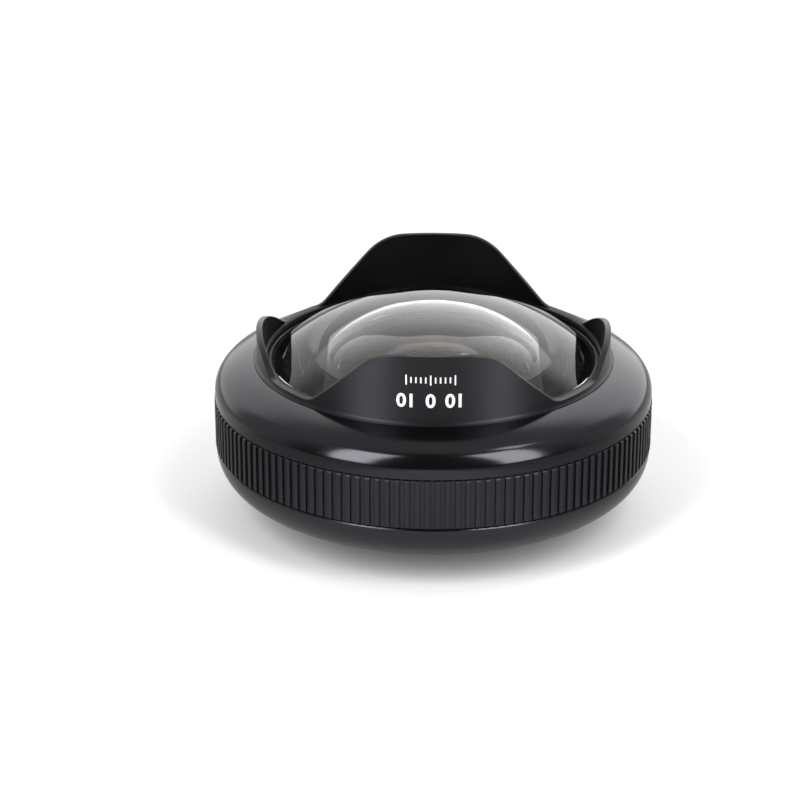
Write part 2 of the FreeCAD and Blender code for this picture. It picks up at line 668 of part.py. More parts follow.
def lens_barrel():
    glass_bore = "dome_edge_rad + glass_gap"
    cell_bore = "cell_rad + cell_gap"
    flange_bore = "cell_flange_rad + cell_gap"
    waist_end = "waist_top + waist_flare"
    outline = [
        (flange_bore, "mount_top"),
        ("tail_rad", "mount_top"),
        ("tail_rad", "collar_seat"),
        ("flange_seal_rad - seal_wire - seal_room", "collar_seat"),
        ("flange_seal_rad - seal_wire - seal_room", "flange_seal_level + seal_wire"),
        ("flange_seal_rad + seal_wire + seal_room", "flange_seal_level + seal_wire"),
        ("flange_seal_rad + seal_wire + seal_room", "collar_seat"),
        ("rear_flange_rad", "collar_seat"),
        ("rear_flange_rad", "collar_seat + rear_flange_thick"),
        ("waist_rad", "collar_seat + rear_flange_thick"),
        ("waist_rad", "waist_top"),
        ("neck_rad", waist_end),
    ]
    outline += groove_out("neck_rad", "foot_seal_level", "seal_wire",
                          "2 * seal_wire + seal_squeeze - foot_gap")
    outline += [
        ("neck_rad", "shoulder_level"),
        ("shoulder_rad", "shoulder_level"),
        ("shoulder_rad", "shoulder_level + shoulder_thick"),
        ("neck_rad", "shoulder_level + shoulder_thick"),
    ]
    outline += groove_out("neck_rad", "drag_level", "drag_wire", "2 * drag_wire + seal_squeeze - hood_gap")
    outline += groove_out("neck_rad", "snap_level", "snap_wire", "2 * snap_wire - snap_bite")
    outline += [
        ("neck_rad", "neck_top"),
        ("front_ring_rad + glass_gap", "neck_top"),
        ("front_ring_rad + glass_gap", "dome_step_level"),
        (glass_bore, "dome_step_level"),
        (glass_bore, "dome_seat"),
        ("front_seal_rad + front_seal_wire + seal_room", "dome_seat"),
        ("front_seal_rad + front_seal_wire + seal_room", "front_seal_level - front_seal_wire"),
        ("front_seal_rad - front_seal_wire - seal_room", "front_seal_level - front_seal_wire"),
        ("front_seal_rad - front_seal_wire - seal_room", "dome_seat"),
        ("dome_back_clear - nose_land", "dome_seat"),
        ("second_ring_rad + glass_gap + nose_rim", "nose_top"),
        ("second_ring_rad + glass_gap", "nose_top"),
        ("second_ring_rad + glass_gap", "second_front_flat"),
        ("second_rad + glass_gap", "second_front_flat"),
        ("second_rad + glass_gap", "second_seat"),
        ("third_rad + glass_gap", "second_seat"),
        ("third_rad + glass_gap", "third_seat_level"),
        ("third_rad - third_ledge", "third_seat_level"),
        ("third_rad - third_ledge", "cell_top + cell_head_air"),
        (cell_bore, "cell_top + cell_head_air"),
        (cell_bore, "cell_flange_top"),
        (flange_bore, "cell_flange_top"),
    ]
    body = turned("lens_barrel", outline)
    mount = turn_hole(body, "barrel_mount_hole", MOUNT_SCREWS)
    round_the_axis(body, "barrel_mount_holes", [mount], MOUNT_SCREWS[1])
    collar = turn_hole(body, "barrel_collar_hole", COLLAR_SCREWS)
    round_the_axis(body, "barrel_collar_holes", [collar], COLLAR_SCREWS[1])
    return body


def collar_upper_shell():
    outline = [
        ("neck_rad + foot_gap", "foot_low"),
        ("foot_rad", "foot_low"),
        ("foot_rad", "crown_inner_meet", "crown_round - shell_wall", -1),
        ("spigot_inner", "upper_inner_meet"),
        ("spigot_inner", "grip_top - spigot_len"),
        ("spigot_rad", "grip_top - spigot_len"),
    ]
    outline += groove_out("spigot_rad", "upper_seal_level", "seal_wire",
                          "2 * seal_wire + seal_squeeze - spigot_gap")
    outline += [
        ("spigot_rad", "grip_top"),
        ("collar_rad - rim_chamfer", "grip_top"),
        ("collar_rad", "grip_top + rim_chamfer"),
        ("collar_rad", "upper_centre", "upper_round", 1),
        ("turn_rad", "turn_level", "crown_round", 1),
        ("crown_edge_rad", "crown_edge_level"),
        ("crown_edge_rad", "lip_seat"),
        ("shell_bore_rad", "lip_seat"),
        ("shell_bore_rad", "shoulder_level"),
        ("neck_rad + foot_gap", "shoulder_level"),
    ]
    return turned("collar_upper_shell", outline)


def collar_lower_shell():
    outline = [
        ("tail_rad + foot_gap", "lower_bottom"),
        ("lower_turn_rad", "lower_bottom", "lower_round", 1),
        ("collar_rad", "lower_rim"),
        ("collar_rad - rim_chamfer", "grip_low"),
        ("spigot_rad", "grip_low"),
    ]
    outline += groove_out("spigot_rad", "lower_seal_level", "seal_wire",
                          "2 * seal_wire + seal_squeeze - spigot_gap")
    outline += [
        ("spigot_rad", "grip_low + spigot_len"),
        ("spigot_inner", "grip_low + spigot_len"),
        ("spigot_inner", "lower_inner_meet", "lower_round - shell_wall", -1),
        ("flange_edge", "collar_seat"),
        ("tail_rad + foot_gap", "collar_seat"),
    ]
    body = turned("collar_lower_shell", outline)
    screw_holes(body, "collar_lower_shell_holes", COLLAR_SCREWS)
    return body


def grip_ring():
    """The grip ring, with straight ribs left standing between milled grooves."""
    body = turned("grip_ring", [
        ("grip_bore_rad", "grip_low"),
        ("grip_rad - slit_depth", "grip_low"),
        ("grip_rad - slit_depth", "grip_low + slit_width"),
        ("grip_rad - rib_chamfer", "grip_low + slit_width"),
        ("grip_rad", "grip_low + slit_width + rib_chamfer"),
        ("grip_rad", "grip_top - slit_width - rib_chamfer"),
        ("grip_rad - rib_chamfer", "grip_top - slit_width"),
        ("grip_rad - slit_depth", "grip_top - slit_width"),
        ("grip_rad - slit_depth", "grip_top"),
        ("grip_bore_rad", "grip_top"),
    ])
    sketch = sketch_on(body, "XY_Plane", "grip_groove_outline")
    draw_outline(sketch, [
        ("grip_rad - groove_depth", "-groove_width / 2"),
        ("grip_rad + groove_depth", "-groove_width / 2"),
        ("grip_rad + groove_depth", "groove_width / 2"),
        ("grip_rad - groove_depth", "groove_width / 2"),
    ])
    groove = body.newObject("PartDesign::Pocket", "grip_groove")
    groove.Profile = sketch
    groove.Reversed = True
    groove.Type = "ThroughAll"
    round_the_axis(body, "grip_grooves", [groove], "grip_ribs")
    return body


def mirrored(outline):
    """The outline on the other side of the sketch's vertical axis."""
    flipped = []
    for entry in outline:
        flipped.append(("-(%s)" % entry[0],) + entry[1:3] + tuple(-side for side in entry[3:]))
    return flipped


def cut_beside_petals(body, name, plane, kind, inner, outer, rise):
    """Cuts the hood down to the valleys on both sides of a pair of petals, seen along the other pair.

    kind is the word that the names of this pair's sizes start with.
    """
    flat, run, corner, top = kind + "_flat", kind + "_run", kind + "_corner", kind + "_top"
    foot, heel, slope = kind + "_foot", kind + "_heel", kind + "_slope"
    outline = [
        (f"{flat} - {run}", top, corner, -1),
        (f"{flat} + {run} * cos({slope})", f"{top} - {run} * sin({slope})"),
        (f"{foot} - {heel} * cos({slope})", f"valley_level + {heel} * sin({slope})", "valley_corner", 1),
        (f"{foot} + {heel}", "valley_level"),
        (inner, "valley_level"),
    ]
    if outer:
        outline += [(inner, "side_top"), (outer, "side_top"), (outer, rise)]
    else:
        outline += [(inner, rise)]
    outline.append((f"{flat} - {run}", rise))
    sketch = sketch_on(body, plane, name + "_outline")
    draw_outline(sketch, outline)
    draw_outline(sketch, mirrored(outline))
    cut = body.newObject("PartDesign::Pocket", name)
    cut.Profile = sketch
    cut.SideType = "Symmetric"
    cut.Type = "ThroughAll"
    body.Tip = cut


def hood():
    """The hood: a turned ring, scalloped into two tall petals and two low ones."""
    outline = [
        ("hood_bore", "hood_low"),
        ("hood_skirt_rad", "hood_low"),
        ("hood_skirt_rad", "lip_level"),
        ("hood_lip_rad", "lip_level"),
        ("hood_lip_rad", "lip_top", "lip_reach", -1),
        ("hood_rad", "lip_top + lip_reach"),
        ("hood_rad", "petal_top"),
        ("petal_bore", "petal_top"),
        ("petal_bore", "valley_level"),
        ("hood_ledge_bore", "valley_level"),
        ("hood_ledge_bore", "ledge_level"),
        ("hood_bore", "ledge_level"),
        ("hood_bore", "snap_level + snap_wire + snap_room"),
        ("neck_rad + snap_bite + snap_room", "snap_level + snap_wire + snap_room"),
        ("neck_rad + snap_bite + snap_room", "snap_level - snap_wire - snap_room"),
        ("hood_bore", "snap_level - snap_wire - snap_room"),
    ]
    body = turned("hood", outline)
    cut_beside_petals(body, "tall_petal_cut", "XZ_Plane", "petal", "side_wall_near",
                      "hood_rad + hood_wall", "petal_top + hood_wall")
    cut_beside_petals(body, "low_petal_cut", "YZ_Plane", "side", "petal_wall_near",
                      None, "side_top + hood_wall")
    return body


parts = [
    front_element(),
    second_element(),
    third_element(),
    doublet_front(),
    doublet_rear(),
    rear_element(),
    front_retaining_ring(),
    second_retaining_ring(),
    third_spacer(),
    doublet_spacer(),
    rear_retaining_ring(),
    lens_barrel(),
    rear_cell(),
    mount_ring(),
    screw_set("mount_screws", MOUNT_SCREWS),
    collar_upper_shell(),
    collar_lower_shell(),
    screw_set("collar_screws", COLLAR_SCREWS),
    grip_ring(),
    hood(),
    seal("front_oring", "front_seal_rad", "front_seal_level", "front_seal_wire"),
    seal("rear_oring", "rear_seal_rad", "rear_seal_level", "seal_wire"),
    seal("cell_oring", "cell_seal_rad", "cell_seal_level", "seal_wire"),
    seal("collar_upper_oring", "foot_seal_rad", "foot_seal_level", "seal_wire"),
    seal("collar_lower_oring", "flange_seal_rad", "flange_seal_level", "seal_wire"),
    seal("grip_upper_oring", "spigot_seal_rad", "upper_seal_level", "seal_wire"),
    seal("grip_lower_oring", "spigot_seal_rad", "lower_seal_level", "seal_wire"),
    seal("hood_drag_ring", "drag_rad", "drag_level", "drag_wire"),
    seal("hood_snap_ring", "snap_rad", "snap_level", "snap_wire"),
]

doc.recompute()

for item in doc.Objects:
    if "Invalid" in item.State or "Error" in item.State:
        raise RuntimeError("%s did not build: %s" % (item.Label, item.State))
for part in parts:
    if part.Shape.isNull() or not part.Shape.isValid():
        raise RuntimeError("%s has no valid shape" % part.Label)

os.makedirs("parts", exist_ok=True)
for part in parts:
    part.Shape.exportStep("parts/%s.step" % part.Label)
    print("%-24s %2d solid(s) %12.3f mm3" % (part.Label, len(part.Shape.Solids), part.Shape.Volume))
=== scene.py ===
# %% [markdown]
# # A wide-angle wet lens
#
# A wet lens screws to the front of an underwater camera port and widens the picture. This one has
# a domed front glass, a hood with four petals round it, and a hollow float collar with a ribbed
# grip ring. Nearly every piece is turned on a lathe, so most of this lesson is about outlines that
# are spun round an axis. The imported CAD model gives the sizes, and this script gives the looks.

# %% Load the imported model
import json
import math

import bmesh
import bpy
from mathutils import Matrix, Vector

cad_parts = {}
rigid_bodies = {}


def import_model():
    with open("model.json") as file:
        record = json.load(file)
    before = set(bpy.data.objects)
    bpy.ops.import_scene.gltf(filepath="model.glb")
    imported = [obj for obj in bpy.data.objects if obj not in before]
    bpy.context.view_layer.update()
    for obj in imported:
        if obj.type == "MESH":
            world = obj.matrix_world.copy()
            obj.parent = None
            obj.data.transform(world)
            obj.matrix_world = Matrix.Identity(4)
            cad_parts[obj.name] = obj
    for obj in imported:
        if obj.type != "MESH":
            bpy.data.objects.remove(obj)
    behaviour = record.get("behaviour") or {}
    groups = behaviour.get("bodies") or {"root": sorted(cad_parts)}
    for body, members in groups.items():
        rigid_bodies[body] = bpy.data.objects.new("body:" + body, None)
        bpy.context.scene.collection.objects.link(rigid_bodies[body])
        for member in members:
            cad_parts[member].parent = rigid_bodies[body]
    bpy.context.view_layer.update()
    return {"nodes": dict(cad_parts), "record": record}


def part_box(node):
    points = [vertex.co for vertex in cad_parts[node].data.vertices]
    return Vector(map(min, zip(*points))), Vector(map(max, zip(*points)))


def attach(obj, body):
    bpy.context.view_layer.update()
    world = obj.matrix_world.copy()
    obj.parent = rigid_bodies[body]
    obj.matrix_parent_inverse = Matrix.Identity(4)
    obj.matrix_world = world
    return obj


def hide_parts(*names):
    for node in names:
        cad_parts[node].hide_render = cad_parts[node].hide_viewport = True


for leftover in list(bpy.data.objects):
    bpy.data.objects.remove(leftover)
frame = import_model()
nodes = frame["nodes"]

# %% [markdown]
# Outlines are easiest to read in millimetres, as on a drawing, so everything below is written in
# millimetres and turned to metres at the last moment. Levels and radii that other pieces depend on
# come from the boxes of the CAD nodes: a turned node's box reaches its largest radius on +X.

# %% Read the main sizes from the frame
MM = 0.001


def low(node):
    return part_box(node)[0].z / MM


def top(node):
    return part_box(node)[1].z / MM


def rim(node):
    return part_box(node)[1].x / MM


grip_low, grip_top, grip_rad = low("grip_ring"), top("grip_ring"), rim("grip_ring")
collar_rad = rim("collar_upper_shell")
lower_bottom = low("collar_lower_shell")
dome_top, dome_seat = top("front_element"), low("front_element")
dome_edge_rad = rim("front_element")
ring_top = top("front_retaining_ring")
petal_top, hood_low, hood_lip_rad = top("hood"), low("hood"), rim("hood")
print("grip ring", round(grip_low, 2), round(grip_top, 2), round(grip_rad, 2))
print("collar", round(collar_rad, 2), "dome", round(dome_seat, 2), round(dome_top, 2))
print("hood", round(hood_low, 2), round(petal_top, 2), round(hood_lip_rad, 2))

# %% [markdown]
# ## The lathe
#
# A turned part is an outline spun round an axis. Outlines are made of straight runs and arcs, and
# an arc is given as on a drawing: its two ends, its radius, and the side of its centre. The list
# leaves the arc's own end out, so that the next run can start with it.

# %% Arcs
def arc(start, end, radius, side, steps):
    """Points from start up to but not including end. side 1: the centre is left of the way."""
    chord = Vector((end[0] - start[0], end[1] - start[1]))
    middle = Vector(((start[0] + end[0]) / 2, (start[1] + end[1]) / 2))
    rise = math.sqrt(max(radius * radius - chord.length_squared / 4, 0))
    centre = middle + Vector((-chord.y, chord.x)).normalized() * rise * side
    first = math.atan2(start[1] - centre.y, start[0] - centre.x)
    last = math.atan2(end[1] - centre.y, end[0] - centre.x)
    sweep = (last - first + math.pi) % (2 * math.pi) - math.pi
    return [
        (centre.x + radius * math.cos(first + sweep * i / steps),
         centre.y + radius * math.sin(first + sweep * i / steps))
        for i in range(steps)
    ]


example = arc((1, 0), (0, 1), 1, 1, steps=2)
print("a quarter round in two steps:", [(round(x, 3), round(y, 3)) for x, y in example])

# %% [markdown]
# Blender has a Screw modifier for turned parts. A few lines of mesh code do the same and also allow
# a section that changes on its way round, which the hood and the grip ring need. So one function
# spins sections, and a plain turned part is the case where every section is alike. Points that
# fall together, as on the axis, are merged. The skin is shaded smooth, and only edges that bend by
# more than 35 degrees stay hard.

# %% Spun meshes
SHARP_DEGREES = 35
MERGE_MM, SLIVER_MM = 0.0005, 0.0002
TURN_STEPS = 360


def spun(name, angles, sections):
    """Joins closed (radius, level) sections that stand at the given angles into one skin."""
    points = [(r * math.cos(a), r * math.sin(a), z)
              for a, section in zip(angles, sections) for r, z in section]
    count = len(sections[0])
    around = zip(sections[0], sections[0][1:] + sections[0][:1])
    area = sum(here[0] * there[1] - there[0] * here[1] for here, there in around)
    faces = []
    for i in range(len(angles)):
        after = (i + 1) % len(angles)
        for j in range(count):
            k = (j + 1) % count
            face = [i * count + j, after * count + j, after * count + k, i * count + k]
            faces.append(face if area > 0 else face[::-1])
    mesh = bpy.data.meshes.new(name)
    mesh.from_pydata([Vector(point) * MM for point in points], [], faces)
    work = bmesh.new()
    work.from_mesh(mesh)
    bmesh.ops.remove_doubles(work, verts=work.verts, dist=MERGE_MM * MM)
    bmesh.ops.dissolve_degenerate(work, edges=work.edges, dist=SLIVER_MM * MM)
    work.to_mesh(mesh)
    work.free()
    mesh.shade_smooth()
    mesh.set_sharp_from_angle(angle=math.radians(SHARP_DEGREES))
    piece = bpy.data.objects.new(name, mesh)
    bpy.context.scene.collection.objects.link(piece)
    return piece


def full_turn(steps):
    return [2 * math.pi * i / steps for i in range(steps)]


def turned(name, outline):
    return spun(name, full_turn(TURN_STEPS), [outline] * TURN_STEPS)


print("a turned part has", TURN_STEPS, "sections; at the grip ring that is one every",
      round(2 * math.pi * grip_rad / TURN_STEPS, 2), "mm")

# %% [markdown]
# No machined edge is perfectly sharp: each one is broken by a tenth of a millimetre or two, and
# that small round catches a line of light which tells the eye where the edge is. `softened` takes
# an outline whose corners may carry a radius and puts three small steps round each of those. The
# extra point just outside each round keeps the smooth shading from creeping over the flats.

# %% Broken edges
EDGE_STEPS = 3
EDGE_GUARD = 0.05


def soft_corner(before, at, after, radius):
    back = (Vector(before) - Vector(at)).normalized()
    ahead = (Vector(after) - Vector(at)).normalized()
    reach = radius / math.tan(back.angle(ahead) / 2)
    first, last = Vector(at) + back * reach, Vector(at) + ahead * reach
    side = 1 if back.cross(ahead) < 0 else -1
    return [
        first + back * EDGE_GUARD,
        *arc(first, last, radius, side, EDGE_STEPS),
        last,
        last + ahead * EDGE_GUARD,
    ]


def softened(corners):
    outline = []
    for i, corner in enumerate(corners):
        after = corners[(i + 1) % len(corners)]
        if len(corner) == 2:
            outline.append(corner)
        else:
            outline += soft_corner(corners[i - 1][:2], corner[:2], after[:2], corner[2])
    return [(point[0], point[1]) for point in outline]


print("one soft corner turns 3 points into", len(softened([(0, 0), (1, 0, 0.1), (1, 1)])))

# %% [markdown]
# ## Materials
#
# Two small helpers first. One turns an sRGB hex value, as read off a colour chart, to the linear
# values that the shader wants. The other adds a node, sets what is given and links what is linked.

# %% Colour and node helpers
def hex_colour(text):
    channels = [int(text[i:i + 2], 16) / 255 for i in (1, 3, 5)]
    linear = [c / 12.92 if c <= 0.04045 else ((c + 0.055) / 1.055) ** 2.4 for c in channels]
    return (*linear, 1.0)


def add_node(tree, kind, inputs=None, **settings):
    """Adds a node. inputs maps a socket's name or number to a value, or to a socket to link."""
    made = tree.nodes.new(kind)
    for name, value in settings.items():
        setattr(made, name, value)
    for name, value in (inputs or {}).items():
        if isinstance(value, bpy.types.NodeSocket):
            tree.links.new(value, made.inputs[name])
        else:
            made.inputs[name].default_value = value
    return made


def new_material(name):
    material = bpy.data.materials.new(name)
    material.use_nodes = True
    material.node_tree.nodes.clear()
    return material, material.node_tree


def finish_surface(tree, shader):
    add_node(tree, "ShaderNodeOutputMaterial", {"Surface": shader})


print("half grey #808080 is", round(hex_colour("#808080")[0], 3), "in linear light")

# %% [markdown]
# **Black anodised aluminium.** The collar, the hood and the barrel are turned from aluminium and
# hard anodised: the skin of the metal is grown into a clear oxide and dyed black. The eye sees a
# dark layer with a glassy top and not bare metal, so metallic stays 0, the colour is nearly black,
# and the IOR is that of the sealed oxide, about 1.55. The dye leaves the shine a trace cold, which
# is the specular tint. How the metal was treated before the bath sets the gloss:
#
# - the shells were polished, so they mirror the room a little softly
# - the hood was turned fine. The tool's grooves run round the axis and stretch a highlight across
#   them, which the shader calls anisotropy: its tangent runs round Z and is turned by a quarter
# - the grip ring was blasted with glass beads, which leaves an even, matt grain
# - the inside of the barrel was left rougher, so that it swallows stray light
#
# The hood's inner walls have a coat of matt black paint over that, for the same reason. Paint has
# hardly any shine of its own, and a low IOR stands in for that.
#
# The real grain is a few hundredths of a millimetre, too fine to show. It is drawn at 0.25 to
# 0.6 mm, as coarse as it needs to be, and only microns deep. A cloud 14 mm wide varies the
# roughness a little, as handling and the bath do.

# %% Anodised finishes
OXIDE_IOR, PAINT_IOR, ROUGH_IOR, COLD_SHEEN = 1.55, 1.28, 1.35, "#f3f3ff"
CLOUD_MM, CLOUD_RANGE, CLOUD_SPREAD = 14, (0.3, 0.7), (0.88, 1.12)
QUARTER = 0.25


def black_finish(name, colour, roughness, grain_mm, grain_depth_mm, ior=OXIDE_IOR, across=0.0):
    """across: how far the lathe's grooves stretch a highlight, from 0 to 1."""
    material, tree = new_material(name)
    place = add_node(tree, "ShaderNodeTexCoord")
    grain = add_node(tree, "ShaderNodeTexNoise",
                     {"Vector": place.outputs["Object"], "Scale": 1 / (grain_mm * MM),
                      "Detail": 2.0})
    cloud = add_node(tree, "ShaderNodeTexNoise",
                     {"Vector": place.outputs["Object"], "Scale": 1 / (CLOUD_MM * MM),
                      "Detail": 3.0})
    spread = add_node(tree, "ShaderNodeMapRange",
                      {"Value": cloud.outputs["Fac"],
                       "From Min": CLOUD_RANGE[0], "From Max": CLOUD_RANGE[1],
                       "To Min": roughness * CLOUD_SPREAD[0],
                       "To Max": roughness * CLOUD_SPREAD[1]})
    bump = add_node(tree, "ShaderNodeBump",
                    {"Height": grain.outputs["Fac"], "Strength": 1.0,
                     "Distance": grain_depth_mm * MM})
    lay = add_node(tree, "ShaderNodeTangent", direction_type="RADIAL", axis="Z")
    shader = add_node(tree, "ShaderNodeBsdfPrincipled",
                      {"Base Color": hex_colour(colour), "Roughness": spread.outputs["Result"],
                       "IOR": ior, "Normal": bump.outputs["Normal"], "Anisotropic": across,
                       "Anisotropic Rotation": QUARTER, "Tangent": lay.outputs["Tangent"],
                       "Specular Tint": hex_colour(COLD_SHEEN)})
    finish_surface(tree, shader.outputs["BSDF"])
    print(name, "roughness", roughness, "grain mm", grain_mm)
    return material


polished_black = black_finish("polished black anodised aluminium", "#070708", roughness=0.16,
                              grain_mm=0.6, grain_depth_mm=0.0006)
turned_black = black_finish("fine turned black anodised aluminium", "#08080a", roughness=0.46,
                            grain_mm=0.3, grain_depth_mm=0.002, across=0.85)
blasted_black = black_finish("bead blasted black anodised aluminium", "#07070a", roughness=0.43,
                             grain_mm=0.25, grain_depth_mm=0.005)
hood_paint = black_finish("matt black paint inside the hood", "#020203", roughness=0.50,
                          grain_mm=0.25, grain_depth_mm=0.002, ior=PAINT_IOR)
inner_black = black_finish("flat black anodised aluminium", "#060607", roughness=0.60,
                           grain_mm=0.3, grain_depth_mm=0.001, ior=ROUGH_IOR)

# %% [markdown]
# **Optical glass.** The dome is crown glass with an IOR of 1.52. The hollow glass behind it is
# fluor crown, which bends light the least, at 1.44. The third glass is dense flint at 1.62, and
# the glasses behind it are flint at 1.58. Polished faces have no roughness at all. The coating
# against reflections kills most of the light that comes back head on, and what is left has a tint:
# a faint warm one, or a red one on the third glass. The specular tint stands in for that. Glass
# needs closed solids with true spheres, because the light bends at both faces.

# %% Optical glass
def optical_glass(name, tint, ior, reflection):
    material, tree = new_material(name)
    shader = add_node(tree, "ShaderNodeBsdfPrincipled",
                      {"Base Color": hex_colour(tint), "Roughness": 0.0, "IOR": ior,
                       "Transmission Weight": 1.0, "Specular Tint": hex_colour(reflection)})
    finish_surface(tree, shader.outputs["BSDF"])
    print(name, "IOR", ior)
    return material


crown_glass = optical_glass("polished crown glass", "#fcfdfd", 1.52, reflection="#ffffff")
flint_glass = optical_glass("coated flint glass", "#fdf6ef", 1.58, reflection="#a08468")
red_coated = optical_glass("red coated flint glass", "#fdf6ef", 1.62, reflection="#803038")
fluor_crown = optical_glass("fluor crown glass", "#fdf8f2", 1.44, reflection="#a08468")

# %% [markdown]
# **Rubber, steel and paint.** The seals are nitrile rubber, pressed smooth in a mould: dark, with a
# soft broad shine. The screws and the hood's snap ring are stainless steel straight from the
# machine. The marks are filled with white enamel paint, which dries to a low gloss. All three get
# the same slight unevenness, 0.4 mm wide and 3 microns deep: a moulded skin, tool marks, or the
# pull of drying paint. It is drawn coarser than the real one, so that it shows.

# %% Rubber, steel and paint
WAVE_MM, WAVE_DEPTH_MM = 0.4, 0.003


def plain_surface(name, colour, **sockets):
    material, tree = new_material(name)
    place = add_node(tree, "ShaderNodeTexCoord")
    grain = add_node(tree, "ShaderNodeTexNoise",
                     {"Vector": place.outputs["Object"], "Scale": 1 / (WAVE_MM * MM),
                      "Detail": 2.0})
    bump = add_node(tree, "ShaderNodeBump",
                    {"Height": grain.outputs["Fac"], "Strength": 1.0,
                     "Distance": WAVE_DEPTH_MM * MM})
    shader = add_node(tree, "ShaderNodeBsdfPrincipled",
                      {"Base Color": hex_colour(colour), "Normal": bump.outputs["Normal"],
                       **sockets})
    finish_surface(tree, shader.outputs["BSDF"])
    print(name, sockets)
    return material


nitrile = plain_surface("nitrile rubber", "#141414", Roughness=0.6, IOR=1.52)
stainless = plain_surface("stainless steel", "#b9b8b4", Roughness=0.3, Metallic=1.0)
white_enamel = plain_surface("white enamel paint", "#f4f4f2", Roughness=0.45, IOR=1.5)

# %% [markdown]
# Every CAD node gets the finish of its material slot, also the ones that no one sees once the lens
# is together. Later cells replace some of these nodes by finer meshes. `fit` does that: the new
# piece rides on the body that carries the node, hides it, and takes the finish it is given.

# %% Give every CAD node its finish
finish_of_slot = {
    "coated_glass": flint_glass,
    "satin_black_aluminium": polished_black,
    "matt_black_aluminium": turned_black,
    "black_aluminium": inner_black,
    "steel": stainless,
    "seal_rubber": nitrile,
}
slot_of_node = {part["node"]: part["material_slot"] for part in frame["record"]["subparts"]}
for name, node in nodes.items():
    node.data.materials.clear()
    node.data.materials.append(finish_of_slot[slot_of_node[name]])
print("finishes by slot:", sorted(set(slot_of_node.values())))


def fit(piece, node, body, finish):
    """Puts a finer piece in the place of a CAD node, on the body that carries it."""
    piece.data.materials.append(finish)
    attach(piece, body)
    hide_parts(node)
    print(piece.name, "for", node, len(piece.data.polygons), "faces")


# %% [markdown]
# ## Glasses
#
# A faceted lens shows its facets as broken reflections, so each glass that the camera sees into is
# spun anew with fine steps. A sphere falls away from its apex by the sag, which grows with the
# radius, and that gives the level of each edge from the level of the apex. The dome has a step cut
# round its front for the retaining ring.

# %% Front dome
GLASS_STEPS = 48


def sag(curve, radius):
    return curve - math.sqrt(curve * curve - radius * radius)


dome_curve, dome_step_rad, dome_step = 76.0, 48.55, 2.0
dome_back_curve, dome_back_clear = 49.0, 40.5
dome_step_top = dome_top - sag(dome_curve, dome_step_rad)
dome_back_apex = dome_seat + sag(dome_back_curve, dome_back_clear)
dome = turned("front_glass", [
    *arc((0, dome_top), (dome_step_rad, dome_step_top), dome_curve, -1, GLASS_STEPS),
    (dome_step_rad, dome_step_top),
    (dome_step_rad, dome_step_top - dome_step),
    (dome_edge_rad, dome_step_top - dome_step),
    (dome_edge_rad, dome_seat),
    *arc((dome_back_clear, dome_seat), (0, dome_back_apex), dome_back_curve, 1, GLASS_STEPS),
    (0, dome_back_apex),
])
fit(dome, "front_element", "lens", crown_glass)
print("the dome is", round(dome_top - dome_back_apex, 2), "mm thick in the middle")

# %% [markdown]
# Behind the dome stand two more glasses of the same kind, which bulge to the front and are hollow
# at the back: a meniscus. Each has a flat rim round its front face and a flat seat round its back,
# where its rings hold it.

# %% Second and third glass
SECOND_FRONT, SECOND_BACK = (110.0, 31.0), (34.0, 27.5)
THIRD_FRONT, THIRD_BACK = (60.0, 26.0), (40.0, 22.0)


def meniscus(name, node, front, back):
    """A glass whose front bulges and whose back is hollow. front and back: (curve, clear rad)."""
    apex, seat, edge_rad = top(node), low(node), rim(node)
    front_flat = apex - sag(*front)
    back_apex = seat + sag(*back)
    return turned(name, [
        *arc((0, apex), (front[1], front_flat), front[0], -1, GLASS_STEPS),
        (front[1], front_flat),
        (edge_rad, front_flat),
        (edge_rad, seat),
        *arc((back[1], seat), (0, back_apex), back[0], 1, GLASS_STEPS),
        (0, back_apex),
    ])


second = meniscus("second_glass", "second_element", SECOND_FRONT, SECOND_BACK)
fit(second, "second_element", "lens", fluor_crown)
third = meniscus("third_glass", "third_element", THIRD_FRONT, THIRD_BACK)
fit(third, "third_element", "lens", red_coated)

# %% [markdown]
# ## The float collar
#
# Glass and aluminium are heavy, so the lens carries its own float: two shells round an air space,
# sealed by O-rings. They are polished, and a polished turned form is unforgiving: a facet would
# show as a kink in every reflection. So both are spun again from the CAD's own arcs, hollow as they
# are. The upper shell stands up straight from the grip ring, rolls through 60 degrees and runs up a
# gentle crown to the hood. Inside, its wall runs along the crown, down a foot that sits on the
# barrel, and out to a spigot that plugs into the grip ring.

# %% Upper shell's sizes
rim_chamfer, shell_wall = 0.3, 2.0
upper_side, upper_round, upper_turn, crown_round = 2.05, 6.7, math.radians(60), 34.0
lip_air, seat_step, foot_thick = 0.1, 0.2, 3.0
shell_bore_rad, neck_bore_rad, shoulder_level = 53.1, 51.25, 39.9
spigot_rad, spigot_inner, spigot_len = 63.15, 60.9, 4.5

upper_centre = grip_top + upper_side
turn_rad = collar_rad - upper_round * (1 - math.cos(upper_turn))
turn_level = upper_centre + upper_round * math.sin(upper_turn)
crown_centre_rad = turn_rad - crown_round * math.cos(upper_turn)
crown_centre = turn_level - crown_round * math.sin(upper_turn)
crown_inner = crown_round - shell_wall


def crown_level(radius, curve):
    """The level of the crown's outside or inside at a radius."""
    return crown_centre + math.sqrt(curve ** 2 - (radius - crown_centre_rad) ** 2)


crown_edge_rad = hood_lip_rad + lip_air
crown_edge = crown_level(crown_edge_rad, crown_round)
lip_seat = crown_edge - seat_step
foot_rad, foot_low = shell_bore_rad + shell_wall, shoulder_level - foot_thick
print("the roll ends at", round(turn_rad, 2), round(turn_level, 2),
      "and the crown at", round(crown_edge_rad, 2), round(crown_edge, 2))

# %% [markdown]
# The outline goes round the section once, from the spigot out along the seam, up the outside, and
# back on the inside. The edge at the seam to the grip ring is the crispest, so that the seam
# closes to a fine line.

